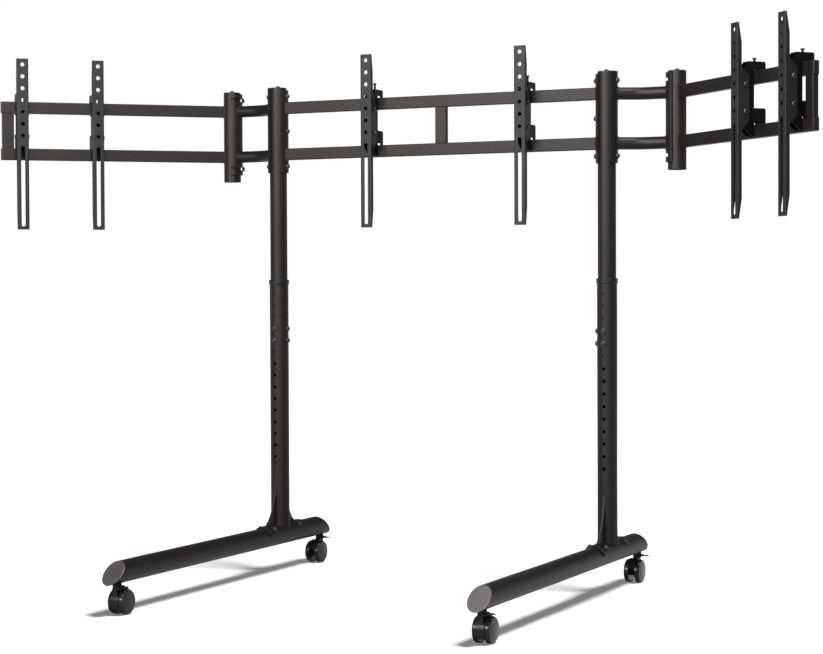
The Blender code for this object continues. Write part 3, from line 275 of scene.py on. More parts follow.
class StandSizes(bpy.types.PropertyGroup):
    sides: bpy.props.IntProperty(
        name="Tube Sides", description="Sides round the tubes and posts", default=72, min=24, max=160)
    rim: bpy.props.FloatProperty(
        name="Rim", description="Rounding on the rims of cut and pressed steel",
        default=0.0006, min=0.0001, max=0.002, unit="LENGTH")
    rail_corner: bpy.props.FloatProperty(
        name="Rail Corner", description="Rounding on the long edges of the flat rails",
        default=0.0020, min=0.0005, max=0.005, unit="LENGTH")
    fold: bpy.props.FloatProperty(
        name="Fold", description="Outside radius of the screen arms' folds",
        default=0.0022, min=0.0005, max=0.005, unit="LENGTH")
    weld: bpy.props.FloatProperty(
        name="Weld", description="Radius of the weld beads",
        default=0.0018, min=0.0005, max=0.004, unit="LENGTH")
    socket: bpy.props.FloatProperty(
        name="Hex Socket", description="Radius of the hexagon sockets in the bolt heads",
        default=0.0025, min=0.001, max=0.004, unit="LENGTH")


class StandColours(bpy.types.PropertyGroup):
    frame_coat: bpy.props.FloatVectorProperty(
        name="Frame Coat", description="Powder coat of the tubes and rails",
        default=(0.0024, 0.0020, 0.0020), min=0, max=1, subtype="COLOR", size=3)
    arm_coat: bpy.props.FloatVectorProperty(
        name="Arm Coat", description="Powder coat of the screen arms",
        default=(0.0050, 0.0046, 0.0048), min=0, max=1, subtype="COLOR", size=3)
    bracket_coat: bpy.props.FloatVectorProperty(
        name="Bracket Coat", description="Powder coat of the hook brackets",
        default=(0.0018, 0.0017, 0.0018), min=0, max=1, subtype="COLOR", size=3)
    screw_steel: bpy.props.FloatVectorProperty(
        name="Screw Steel", description="Black oxide of the bolts and screws",
        default=(0.016, 0.015, 0.016), min=0, max=1, subtype="COLOR", size=3)
    black_plastic: bpy.props.FloatVectorProperty(
        name="Black Plastic", description="Collars, caps and caster bodies",
        default=(0.0040, 0.0039, 0.0040), min=0, max=1, subtype="COLOR", size=3)
    grey_plastic: bpy.props.FloatVectorProperty(
        name="Grey Plastic", description="Caps in the ends of the leg tubes",
        default=(0.018, 0.0156, 0.0170), min=0, max=1, subtype="COLOR", size=3)
    wheel_nylon: bpy.props.FloatVectorProperty(
        name="Wheel Nylon", description="Caster wheels",
        default=(0.0050, 0.0047, 0.0049), min=0, max=1, subtype="COLOR", size=3)


class StandStage(bpy.types.PropertyGroup):
    floor: bpy.props.FloatVectorProperty(
        name="Floor", description="Colour of the studio floor",
        default=(0.86, 0.86, 0.86), min=0, max=1, subtype="COLOR", size=3)
    floor_lift: bpy.props.FloatProperty(
        name="Floor Lift", description="What the camera sees on top of the floor's own light",
        default=0.19, min=0, max=1)
    ambient: bpy.props.FloatProperty(
        name="Ambient", description="Strength of the even studio light",
        default=0.15, min=0, max=2)
    ceiling: bpy.props.FloatProperty(
        name="Ceiling", description="How bright the room is above the pale backdrop",
        default=0.12, min=0, max=1)
    front: bpy.props.FloatProperty(
        name="Front Lamp", description="Power of the lamp at the front left",
        default=400, min=0, max=2000, unit="POWER")
    side: bpy.props.FloatProperty(
        name="Side Lamp", description="Power of the lamp at the front right",
        default=190, min=0, max=2000, unit="POWER")
    soft: bpy.props.FloatProperty(
        name="Soft Lamp", description="Power of the soft lamp above the front",
        default=170, min=0, max=2000, unit="POWER")
    top: bpy.props.FloatProperty(
        name="Top Lamp", description="Power of the large lamp overhead, which throws the floor's shadows",
        default=550, min=0, max=2000, unit="POWER")


def sizes():
    return bpy.context.scene.stand_sizes


def at(x, y, z):
    """A frame that only moves."""
    return Matrix.Translation((x, y, z))


def rest_all():
    """Leave edit mode and deselect everything."""
    if bpy.context.mode != "OBJECT":
        bpy.ops.object.mode_set(mode="OBJECT")
    bpy.ops.object.select_all(action="DESELECT")


def only(piece):
    """Select one piece alone and make it active."""
    rest_all()
    piece.select_set(True)
    bpy.context.view_layer.objects.active = piece
    return piece


def fresh(name):
    """Name the primitive that was just added and put its place in its mesh."""
    piece = bpy.context.active_object
    piece.name = name
    only(piece)
    bpy.ops.object.transform_apply(location=True, rotation=True, scale=True)
    return piece


def drum(name, radius, low, high, sides=None, ends="NGON"):
    """A cylinder on the Z axis."""
    rest_all()
    bpy.ops.mesh.primitive_cylinder_add(
        vertices=sides or sizes().sides, radius=radius, depth=high - low, end_fill_type=ends,
        location=(0, 0, (low + high) / 2))
    return fresh(name)


def bar(name, x_range, y_range, z_range):
    """A box between two corners."""
    rest_all()
    low = Vector((x_range[0], y_range[0], z_range[0]))
    high = Vector((x_range[1], y_range[1], z_range[1]))
    bpy.ops.mesh.primitive_cube_add(size=1, location=(low + high) / 2, scale=high - low)
    return fresh(name)


def shaped(piece, matrix):
    """Move a piece's mesh into another frame, facing out whatever the frame's handedness."""
    piece.data.transform(matrix)
    if matrix.determinant() < 0:
        piece.data.flip_normals()
    piece.data.update()
    return piece


def opened(piece, kind, wanted):
    """Open a piece in edit mode with the faces, edges or points selected that pass a test."""
    only(piece)
    bpy.ops.object.mode_set(mode="EDIT")
    bpy.ops.mesh.select_mode(type=kind)
    bpy.ops.mesh.select_all(action="DESELECT")
    bpy.ops.object.mode_set(mode="OBJECT")
    mesh = piece.data
    for element in {"FACE": mesh.polygons, "EDGE": mesh.edges, "VERT": mesh.vertices}[kind]:
        element.select = wanted(element)
    bpy.ops.object.mode_set(mode="EDIT")


def twin(piece, name, matrix=Matrix.Identity(4)):
    """A copy with its own mesh, set in a frame."""
    copy = bpy.data.objects.new(name, piece.data.copy())
    bpy.context.scene.collection.objects.link(copy)
    return shaped(copy, matrix)


def drop(*pieces):
    """Remove models that were only copied or cut with."""
    for piece in pieces:
        mesh = piece.data
        bpy.data.objects.remove(piece, do_unlink=True)
        bpy.data.meshes.remove(mesh)


def joined(name, pieces):
    """Several pieces as one."""
    rest_all()
    for piece in pieces:
        piece.select_set(True)
    bpy.context.view_layer.objects.active = pieces[0]
    if len(pieces) > 1:
        bpy.ops.object.join()
    pieces[0].name = name
    return pieces[0]


def applied(piece, kind, **settings):
    """Finish a piece with one modifier."""
    only(piece)
    modifier = piece.modifiers.new(kind.title(), kind)
    for setting, value in settings.items():
        setattr(modifier, setting, value)
    bpy.ops.object.modifier_apply(modifier=modifier.name)
    return piece


def rounded(piece, width, segments=2):
    """Round every sharp edge."""
    return applied(piece, "BEVEL", width=width, segments=segments, limit_method="ANGLE",
                   angle_limit=BEVEL_ANGLE, use_clamp_overlap=True)


def thickened(piece, wall):
    """Give an open sheet a wall on its inner side."""
    return applied(piece, "SOLIDIFY", thickness=wall, offset=-1, use_even_offset=True)


def cut(piece, cutter):
    """Take a cutter's shape out of a piece."""
    applied(piece, "BOOLEAN", operation="DIFFERENCE", solver="EXACT", object=cutter)
    drop(cutter)
    return piece


def sliced(piece, place, outward, fill=False):
    """Cut a piece along a plane and drop what lies on the outward side."""
    only(piece)
    bpy.ops.object.mode_set(mode="EDIT")
    bpy.ops.mesh.select_all(action="SELECT")
    bpy.ops.mesh.bisect(plane_co=place, plane_no=outward, clear_outer=True, use_fill=fill)
    bpy.ops.object.mode_set(mode="OBJECT")
    return piece


def cleaned(piece):
    """Merge doubled points and turn every face outwards."""
    only(piece)
    bpy.ops.object.mode_set(mode="EDIT")
    bpy.ops.mesh.select_all(action="SELECT")
    bpy.ops.mesh.remove_doubles(threshold=MERGE_DISTANCE)
    bpy.ops.mesh.normals_make_consistent(inside=False)
    bpy.ops.object.mode_set(mode="OBJECT")
    return piece


def smoothed(piece):
    """Shade round faces smooth and keep the edges that are sharp."""
    only(piece)
    bpy.ops.object.shade_smooth_by_angle(angle=SMOOTH_ANGLE)
    return piece


def turned(name, profile, steps=48, closed=False):
    """Spin a profile of (radius, height) points round the Z axis."""
    rest_all()
    mesh = bpy.data.meshes.new(name)
    edges = [(i, i + 1) for i in range(len(profile) - 1)]
    if closed:
        edges.append((len(profile) - 1, 0))
    mesh.from_pydata([(radius, 0, height) for radius, height in profile], edges, [])
    piece = bpy.data.objects.new(name, mesh)
    bpy.context.scene.collection.objects.link(piece)
    only(piece)
    bpy.ops.object.mode_set(mode="EDIT")
    bpy.ops.mesh.select_all(action="SELECT")
    bpy.ops.mesh.spin(steps=steps, angle=math.tau, center=(0, 0, 0), axis=(0, 0, 1))
    bpy.ops.object.mode_set(mode="OBJECT")
    return cleaned(piece)


def arc(centre, radius, start, end, steps):
    """Points along an arc, both ends included."""
    angles = [start + (end - start) * i / steps for i in range(steps + 1)]
    return [(centre[0] + radius * math.cos(a), centre[1] + radius * math.sin(a)) for a in angles]


def drawn(name, points, closed, **settings):
    """A curve through points, made a mesh."""
    rest_all()
    curve = bpy.data.curves.new(name, "CURVE")
    for setting, value in settings.items():
        setattr(curve, setting, value)
    spline = curve.splines.new("POLY")
    spline.points.add(len(points) - 1)
    for point, place in zip(spline.points, points):
        point.co = (*place, 1) if len(place) == 3 else (*place, 0, 1)
    spline.use_cyclic_u = closed
    piece = bpy.data.objects.new(name, curve)
    bpy.context.scene.collection.objects.link(piece)
    only(piece)
    bpy.ops.object.convert(target="MESH")
    return cleaned(bpy.context.active_object)


def plate(name, outline, thickness, rim):
    """A flat sheet with rounded rims, its middle on the XY plane."""
    piece = drawn(name, outline, True, dimensions="2D", fill_mode="BOTH", extrude=thickness / 2)
    return rounded(piece, rim)


def bead(name, points, radius, closed=True):
    """A weld bead or a round tube that follows points."""
    return drawn(name, points, closed, dimensions="3D", bevel_depth=radius, bevel_resolution=3,
                 use_fill_caps=True)


def sector(name, outer, wall, spread, low, high, rim):
    """Part of a tube's wall, spread evenly about the X axis."""
    shell = drum(name, outer, low, high, sides=96, ends="NOTHING")
    sliced(shell, (0, 0, 0), (-math.sin(spread), math.cos(spread), 0))
    sliced(shell, (0, 0, 0), (-math.sin(spread), -math.cos(spread), 0))
    thickened(shell, wall)
    return rounded(shell, rim)


def dressed(piece, name, node, paint, stands_for=True):
    """Give a finished piece its finish, and let it ride with the solid that it dresses."""
    piece.name = name
    piece.data.materials.clear()
    piece.data.materials.append(PAINTS[paint])
    smoothed(piece)
    applied(piece, "WEIGHTED_NORMAL", keep_sharp=True)
    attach(piece, CARRIERS[node])
    if stands_for:
        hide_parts(node)
    return piece


def fitted(model, place, node, paint, part="body"):
    """Dress a copy of a model: a body stands for its node, and any other part goes with it."""
    return dressed(twin(model, part, place), f"{node}_{part}", node, paint, stands_for=part == "body")


def linked(tree, kind, place, **inputs):
    """Add a shader node and set its inputs; a tuple of (node, output) is a link."""
    node = tree.nodes.new(kind)
    node.location = place
    for name, value in inputs.items():
        socket = node.inputs[name.replace("_", " ")]
        if isinstance(value, tuple) and isinstance(value[0], bpy.types.Node):
            tree.links.new(value[0].outputs[value[1]], socket)
        else:
            socket.default_value = value
    return node


def surface(name, colour, roughness, grain, grain_depth, shine, metallic, tint):
    """A black finish: cloudy in colour and gloss, with a fine grain in its bump."""
    paint = bpy.data.materials.new(name)
    paint.use_nodes = True
    tree = paint.node_tree
    shader = tree.nodes["Principled BSDF"]
    shader.inputs["Metallic"].default_value = metallic
    shader.inputs["Specular IOR Level"].default_value = shine
    shader.inputs["Specular Tint"].default_value = (*tint, 1)
    place = linked(tree, "ShaderNodeTexCoord", (-1100, 0))
    cloud = linked(tree, "ShaderNodeTexNoise", (-850, 200), Vector=(place, "Object"), Scale=CLOUDS_PER_METRE,
                   Detail=4.0, Roughness=0.6)
    grit = linked(tree, "ShaderNodeTexNoise", (-850, -200), Vector=(place, "Object"), Scale=grain, Detail=3.0,
                  Roughness=0.55)
    tone = linked(tree, "ShaderNodeValToRGB", (-550, 250), Fac=(cloud, "Fac"))
    tone.color_ramp.elements[0].position = 0.30
    tone.color_ramp.elements[1].position = 0.72
    tone.color_ramp.elements[0].color = (*[c * (1 - CLOUD_SPREAD) for c in colour], 1)
    tone.color_ramp.elements[1].color = (*[c * (1 + CLOUD_SPREAD) for c in colour], 1)
    gloss = linked(tree, "ShaderNodeMapRange", (-550, 0), Value=(grit, "Fac"), From_Min=0.30, From_Max=0.70,
                   To_Min=roughness - GLOSS_SPREAD, To_Max=roughness + GLOSS_SPREAD)
    relief = linked(tree, "ShaderNodeBump", (-550, -250), Height=(grit, "Fac"), Strength=GRAIN_STRENGTH,
                    Distance=grain_depth)
    tree.links.new(tone.outputs["Color"], shader.inputs["Base Color"])
    tree.links.new(gloss.outputs["Result"], shader.inputs["Roughness"])
    tree.links.new(relief.outputs["Normal"], shader.inputs["Normal"])
    return paint


class STAND_OT_finishes(bpy.types.Operator):
    """Make the powder coats, the plastics and the black oxide of the screws"""

    bl_idname = "stand.finishes"
    bl_label = "Finishes"

    def execute(self, context):
        colours = context.scene.stand_colours
        for finish, (name, *values) in FINISHES.items():
            PAINTS[finish] = surface(name, getattr(colours, finish.replace(" ", "_")), *values)
        return {"FINISHED"}


def post_frame(mirror, height=0.0):
    """On a post's axis."""
    return mirror @ at(POST_X, POST_Y, height)


def wing_frame(mirror):
    """On the wing's pivot at the frames' middle, +X out along the wing."""
    hinge = at(POST_X + PIVOT_OUT, POST_Y + PIVOT_BACK, FRAME_Z)
    return mirror @ hinge @ Matrix.Rotation(-WING_ANGLE, 4, "Z")


def bolt_model():
    """A button head with a hexagon socket on a plain washer, seated on the XY plane."""
    washer = turned("washer", [(WASHER_BORE, WASHER_LOW), (BOLT_HEAD_RADIUS, WASHER_LOW),
                               (BOLT_HEAD_RADIUS, 0.0011), (BOLT_HEAD_RADIUS - 0.0003, WASHER_TOP),
                               (WASHER_BORE, WASHER_TOP)], closed=True)
    flat = CROWN_FLAT_RADIUS
    rise = BOLT_HEAD_HEIGHT - CROWN_LOW
    dome = [(flat + (BOLT_CROWN_RADIUS - flat) * math.cos(a), CROWN_LOW + rise * math.sin(a))
            for a in (math.radians(15 * i) for i in range(7))]
    head = turned("head", [(0, 0.001), (BOLT_CROWN_RADIUS, 0.001)] + dome + [(0, BOLT_HEAD_HEIGHT)])
    low = BOLT_HEAD_HEIGHT - BOLT_SOCKET_DEPTH
    cut(head, drum("socket", sizes().socket, low, BOLT_HEAD_HEIGHT + 0.001, sides=HEXAGON))
    return joined("bolt", [washer, head])


def bolts(model, places):
    """Copies of the bolt in several places, as one piece."""
    return joined("heads", [twin(model, "bolt_copy", place) for place in places])


def slanted(piece, end, inset, inwards=False):
    """Slice a tube on the Y axis along the leg's 45 degree end plane."""
    place = (0, end * (LEG_LENGTH / 2 - inset), -LEG_RADIUS)
    outward = Vector((0, end, 1)).normalized()
    solid = len(piece.data.polygons) > sizes().sides
    return sliced(piece, place, -outward if inwards else outward, fill=solid)


class STAND_OT_leg_tubes(bpy.types.Operator):
    """Build the two leg tubes, cut at 45 degrees at both ends"""

    bl_idname = "stand.leg_tubes"
    bl_label = "Leg Tubes"

    def execute(self, context):
        tube = drum("leg", LEG_RADIUS, -LEG_LENGTH / 2, LEG_LENGTH / 2, ends="NOTHING")
        shaped(tube, FORWARDS)
        for end in (-1, 1):
            slanted(tube, end, LEG_CAP_THICKNESS + GAP)
        thickened(tube, LEG_WALL)
        rounded(tube, TUBE_RIM)
        for side, mirror in SIDES.items():
            fitted(tube, mirror @ at(POST_X, 0, LEG_Z), f"leg_tube_{side}", "frame coat")
        drop(tube)
        return {"FINISHED"}


class STAND_OT_leg_caps(bpy.types.Operator):
    """Build the slanted plastic caps in the leg tubes' ends"""

    bl_idname = "stand.leg_caps"
    bl_label = "Leg Caps"

    def execute(self, context):
        for end, place in ((-1, "front"), (1, "rear")):
            cap = drum("cap", LEG_RADIUS, -LEG_LENGTH / 2, LEG_LENGTH / 2)
            shaped(cap, FORWARDS)
            slanted(cap, end, 0)
            slanted(cap, end, LEG_CAP_THICKNESS, inwards=True)
            rounded(cap, LEG_CAP_RIM, segments=3)
            for side, mirror in SIDES.items():
                fitted(cap, mirror @ at(POST_X, 0, LEG_Z), f"leg_cap_{side}_{place}", "grey plastic")
            drop(cap)
        return {"FINISHED"}


def gusset_outline(start, reach, bottom, top):
    """A fin that sweeps from the post out to the saddle in a hollow curve."""
    steps = 14
    edge = []
    for i in range(steps + 1):
        out = i / steps
        left = 1 - (1 - out) ** GUSSET_CURVE
        sweep = 1 - left ** (1 / GUSSET_CURVE)
        edge.append((LOWER_RADIUS + (reach - LOWER_RADIUS) * out, bottom + (top - bottom) * sweep))
    foot = bottom - SADDLE_WALL
    return [(start, foot), (start, top)] + edge + [(reach, foot)]


def saddle_bolt_places():
    """Frames of the four bolts on the saddle's slopes."""
    for y in (-SADDLE_BOLT_Y, SADDLE_BOLT_Y):
        for turn in (-SADDLE_BOLT_ANGLE, SADDLE_BOLT_ANGLE):
            yield at(0, y, LEG_Z) @ Matrix.Rotation(turn, 4, "Y") @ at(0, 0, SADDLE_OUTER)


class STAND_OT_lower_posts(bpy.types.Operator):
    """Build the two lower posts with their rows of holes, saddles, gussets, welds and bolts"""

    bl_idname = "stand.lower_posts"
    bl_label = "Lower Posts"

    def execute(self, context):
        tube = drum("tube", LOWER_RADIUS, LEG_Z + LEG_RADIUS / 2, LOWER_TOP, ends="NOTHING")
        thickened(tube, LOWER_WALL)
        cutters = []
        for index in range(HOLE_COUNT):
            if index not in BOLTED_HOLES:
                hole = drum("hole", POST_HOLE_RADIUS, LOWER_BORE - 0.006, LOWER_RADIUS + 0.004, sides=28)
                cutters.append(shaped(hole, at(0, 0, TOP_HOLE_Z - HOLE_PITCH * index) @ FORWARDS))
        cut(tube, joined("holes", cutters))
        rounded(tube, TUBE_RIM)
        saddle = sector("saddle", SADDLE_OUTER, SADDLE_WALL, SADDLE_SPREAD, -SADDLE_LENGTH / 2,
                        SADDLE_LENGTH / 2, SADDLE_RIM)
        shaped(saddle, at(0, 0, LEG_Z) @ FORWARDS @ Matrix.Rotation(math.radians(90), 4, "Z"))
        start = LOWER_RADIUS - LOWER_WALL / 2
        shoulder = LEG_Z + SADDLE_OUTER / 2
        side_outline = [(start, shoulder), (start, SIDE_GUSSET_TOP), (LOWER_RADIUS + 0.001, SIDE_GUSSET_TOP),
                        (SIDE_GUSSET_REACH, SIDE_GUSSET_SHOULDER), (SIDE_GUSSET_REACH, SIDE_GUSSET_FOOT)]
        web = plate("web", side_outline, GUSSET_THICKNESS, SHEET_RIM)
        parts = [tube, saddle]
        for turn, reach in ((0, REAR_GUSSET_REACH), (math.pi, FRONT_GUSSET_REACH)):
            outline = gusset_outline(start, reach, LEG_Z + SADDLE_OUTER, GUSSET_TOP)
            fin = plate("fin", outline, GUSSET_THICKNESS, SHEET_RIM)
            parts.append(shaped(fin, Matrix.Rotation(turn, 4, "Z") @ ACROSS))
        for turn in (-math.pi / 2, math.pi / 2):
            parts.append(twin(web, "web_copy", Matrix.Rotation(turn, 4, "Z") @ ACROSS))
        parts.append(bead("foot_weld", post_weld_line(), sizes().weld))
        post = joined("post", parts)
        model = bolt_model()
        places = list(saddle_bolt_places())
        for index in BOLTED_HOLES:
            for turn in (FORWARDS, INWARDS):
                places.append(at(0, 0, TOP_HOLE_Z - HOLE_PITCH * index) @ turn @ at(0, 0, LOWER_RADIUS))
        heads = bolts(model, places)
        for side, mirror in SIDES.items():
            fitted(post, post_frame(mirror), f"lower_post_{side}", "frame coat")
            fitted(heads, post_frame(mirror), f"lower_post_{side}", "screw steel", "bolts")
        drop(post, heads, model, web)
        return {"FINISHED"}


def post_weld_line():
    """Where the lower post's tube meets the saddle."""
    line = []
    steps = 64
    for i in range(steps):
        turn = math.tau * i / steps
        x = LOWER_RADIUS * math.cos(turn)
        line.append((x, LOWER_RADIUS * math.sin(turn), LEG_Z + math.sqrt(SADDLE_OUTER ** 2 - x ** 2)))
    return line


class STAND_OT_collars(bpy.types.Operator):
    """Build the plastic collars on top of the lower posts"""

    bl_idname = "stand.collars"
    bl_label = "Post Collars"

    def execute(self, context):
        top = LOWER_TOP + GAP + COLLAR_LIP
        low = top - COLLAR_HEIGHT
        bore = UPPER_RADIUS + GAP
        socket = LOWER_RADIUS + GAP / 2
        rim = PLASTIC_RIM
        profile = [(socket, low), (COLLAR_RADIUS - rim, low), (COLLAR_RADIUS, low + rim)]
        profile += arc((COLLAR_RADIUS - 2 * rim, top - 2 * rim), 2 * rim, 0, math.pi / 2, 5)
        profile += [(bore + rim / 2, top), (bore, top - rim / 2), (bore, LOWER_TOP + GAP),
                    (socket, LOWER_TOP + GAP)]
        collar = turned("collar", profile, steps=72, closed=True)
        for side, mirror in SIDES.items():
            fitted(collar, post_frame(mirror), f"post_collar_{side}", "black plastic")
        drop(collar)
        return {"FINISHED"}


def clamp_bolt_places(quarter):
    """Three bolts on the post's inner side, or two on its outer side."""
    heights = (-CLAMP_BOLT_Z, 0, CLAMP_BOLT_Z) if quarter < 0 else CLAMP_LEVELS
    turn = Matrix.Rotation(quarter * math.radians(90), 4, "Y")
    for height in heights:
        yield at(0, 0, height) @ turn @ at(0, 0, POST_SHELL_OUTER)


class STAND_OT_upper_posts(bpy.types.Operator):
    """Build the two upper posts and the caps on the posts and the wings' pivots"""

    bl_idname = "stand.upper_posts"
    bl_label = "Upper Posts and Caps"

    def execute(self, context):
        tube = drum("tube", UPPER_RADIUS, UPPER_BOTTOM, FRAME_Z + POST_TOP, ends="NOTHING")
        thickened(tube, UPPER_WALL)
        rounded(tube, TUBE_RIM)
        for side, mirror in SIDES.items():
            fitted(tube, post_frame(mirror), f"upper_post_{side}", "frame coat")
        drop(tube)
        lid = [(0, CAP_LOW), (UPPER_RADIUS - UPPER_WALL - 0.0005, CAP_LOW), (UPPER_RADIUS, CAP_LOW)]
        lid += arc((UPPER_RADIUS - PLASTIC_RIM, CAP_HIGH - PLASTIC_RIM), PLASTIC_RIM, 0, math.pi / 2, 4)
        cap = turned("cap", lid + CAP_NUB, steps=72)
        for side, mirror in SIDES.items():
            fitted(cap, post_frame(mirror, FRAME_Z + POST_TOP), f"post_cap_{side}", "black plastic")
            fitted(cap, wing_frame(mirror) @ at(0, 0, PIVOT_TOP), f"wing_cap_{side}", "black plastic")
        drop(cap)
        return {"FINISHED"}


def rail(start, end, height):
    """A flat rail with rounded long edges."""
    depth = RAIL_DEPTH / 2
    piece = bar("rail", (start, end), (-depth, depth), (height - RAIL_HEIGHT / 2, height + RAIL_HEIGHT / 2))
    return rounded(piece, sizes().rail_corner, segments=4)


def upright(x):
    """The upright between two rails."""
    half = RAIL_Z - RAIL_HEIGHT / 2 + 0.001
    depth = RAIL_DEPTH / 2 - UPRIGHT_INSET
    piece = bar("upright", (x - RAIL_HEIGHT / 2, x + RAIL_HEIGHT / 2), (-depth, depth), (-half, half))
    return rounded(piece, sizes().rail_corner, segments=4)


def rail_weld(reach, height, radius):
    """The bead round a rail where it meets a round shell, with the shell's axis at the origin."""
    line = []
    across = RAIL_DEPTH / 2
    rise = RAIL_HEIGHT / 2
    corners = [(-across, -rise), (0, -rise), (across, -rise), (across, 0), (across, rise), (0, rise),
               (-across, rise), (-across, 0)]
    for y, z in corners:
        line.append((math.sqrt(reach ** 2 - y ** 2), y, height + z))
    return bead("rail_weld", line, radius)


def strut_welds(x, radius):
    """Short beads where an upright meets its rails."""
    beads = []
    for side in (-1, 1):
        for height in (-1, 1):
            y = side * (RAIL_DEPTH / 2 - UPRIGHT_INSET)
            z = height * (RAIL_Z - RAIL_HEIGHT / 2)
            line = [(x + RAIL_HEIGHT * share, y * 0.94, z) for share in (-0.46, -0.15, 0.15, 0.46)]
            beads.append(bead("strut_weld", line, radius, closed=False))
    return beads


class STAND_OT_centre_frame(bpy.types.Operator):
    """Build the centre frame: two rails, an upright and two inner half clamps with their bolts"""

    bl_idname = "stand.centre_frame"
    bl_label = "Centre Frame"

    def execute(self, context):
        reach = POST_X - POST_SHELL_OUTER + SHELL_WALL / 2
        weld = sizes().weld
        parts = [upright(STRUT_X)]
        parts += strut_welds(STRUT_X, weld * STRUT_WELD_SHARE)
        for height in RAIL_LEVELS:
            parts.append(rail(-reach, reach, height))
        places = []
        for mirror in SIDES.values():
            inwards = mirror @ at(POST_X, 0, 0) @ Matrix.Rotation(math.pi, 4, "Z")
            shell = sector("shell", POST_SHELL_OUTER, SHELL_WALL, POST_SPREAD, SHELL_BOTTOM, INNER_SHELL_TOP,
                           SHEET_RIM)
            parts.append(shaped(shell, inwards))
            for height in RAIL_LEVELS:
                parts.append(shaped(rail_weld(POST_SHELL_OUTER, height, weld), inwards))
            places += [mirror @ at(POST_X, 0, 0) @ place for place in clamp_bolt_places(-1)]
        middle = at(0, POST_Y, FRAME_Z)
        body = shaped(joined("centre", parts), middle)
        dressed(body, "centre_frame_body", "centre_frame", "frame coat")
        model = bolt_model()
        heads = shaped(bolts(model, places), middle)
        dressed(heads, "centre_frame_bolts", "centre_frame", "screw steel", stands_for=False)
        drop(model)
        return {"FINISHED"}


def arm_path():
    """Middle line of a side arm's tube from the post to the pivot, with a rounded bend."""
    bend = Vector((BEND_OUT, PIVOT_BACK))
    first = bend.normalized()
    start = first * (UPPER_RADIUS * 0.5)
    end = Vector((PIVOT_OUT - UPPER_RADIUS * 0.5, PIVOT_BACK))
    into = bend - first * ARM_BEND
    out = bend + Vector((ARM_BEND, 0))
    line = [start]
    for i in range(13):
        t = i / 12
        line.append(into * (1 - t) ** 2 + bend * (2 * t * (1 - t)) + out * t ** 2)
    return line + [end]


def tube_weld(direction, reach, height, radius):
    """The bead where a round tube leaves a round shell, with the shell's axis at the origin."""
    line = []
    steps = 40
    sunk = ARM_TUBE_RADIUS - radius * 0.3
    side = Vector((-direction.y, direction.x))
    for i in range(steps):
        turn = math.tau * i / steps
        across = sunk * math.cos(turn)
        along = math.sqrt(reach ** 2 - across ** 2) - radius * 0.2
        point = direction * along + side * across
        line.append((point.x, point.y, height + sunk * math.sin(turn)))
    return bead("tube_weld", line, radius)


def pivot_slot(height):
    """What the sliding bolt's slot takes out of the pivot shell."""
    reach = 2 * PIVOT_SHELL_OUTER
    wedge = drum("wedge", reach, height - SLOT_HALF, height + SLOT_HALF, sides=72)
    sliced(wedge, (0, 0, 0), (-math.sin(WING_LIMIT), math.cos(WING_LIMIT), 0), fill=True)
    sliced(wedge, (0, 0, 0), (-math.sin(WING_LIMIT), -math.cos(WING_LIMIT), 0), fill=True)
    cutters = [wedge]
    for turn in (-WING_LIMIT, WING_LIMIT):
        end = drum("end", SLOT_HALF, PIVOT_SHELL_INNER / 2, reach, sides=24)
        cutters.append(shaped(end, at(0, 0, height) @ Matrix.Rotation(turn, 4, "Z") @ ACROSS))
    return cutters


class STAND_OT_side_arms(bpy.types.Operator):
    """Build the side arms: an outer half clamp, two bent tubes and the slotted shell of the wing's pivot"""

    bl_idname = "stand.side_arms"
    bl_label = "Side Arms"

    def execute(self, context):
        weld = ARM_WELD_SHARE * sizes().weld
        pivot = at(PIVOT_OUT, PIVOT_BACK, 0)
        first = Vector((BEND_OUT, PIVOT_BACK)).normalized()
        parts = []
        for height in RAIL_LEVELS:
            line = [(point.x, point.y, height) for point in arm_path()]
            tube = drawn("tube", line, False, dimensions="3D", bevel_depth=ARM_TUBE_RADIUS,
                         bevel_resolution=10, use_fill_caps=True)
            for place in (at(0, 0, 0), pivot):
                cutter = drum("cutter", ARM_CUT_RADIUS, height - ARM_CUT_REACH, height + ARM_CUT_REACH)
                cut(tube, shaped(cutter, place))
            parts.append(tube)
            parts.append(tube_weld(first, POST_SHELL_OUTER, height, weld))
            parts.append(shaped(tube_weld(Vector((-1, 0)), PIVOT_SHELL_OUTER, height, weld), pivot))
        parts.append(sector("clamp", POST_SHELL_OUTER, SHELL_WALL, POST_SPREAD, SHELL_BOTTOM, OUTER_SHELL_TOP,
                            SHEET_RIM))
        shell = sector("shell", PIVOT_SHELL_OUTER, SHELL_WALL, PIVOT_SPREAD, SHELL_BOTTOM, INNER_SHELL_TOP,
                       SHEET_RIM)
        for height in CLAMP_LEVELS:
            for cutter in pivot_slot(height):
                cut(shell, cutter)
        parts.append(shaped(shell, pivot @ Matrix.Rotation(math.pi, 4, "Z")))
        arm = joined("arm", parts)
        model = bolt_model()
        heads = bolts(model, clamp_bolt_places(1))
        for side, mirror in SIDES.items():
            place = post_frame(mirror, FRAME_Z)
            fitted(arm, place, f"side_arm_{side}", "frame coat")
            fitted(heads, place, f"side_arm_{side}", "screw steel", "bolts")
        drop(arm, heads, model)
        return {"FINISHED"}


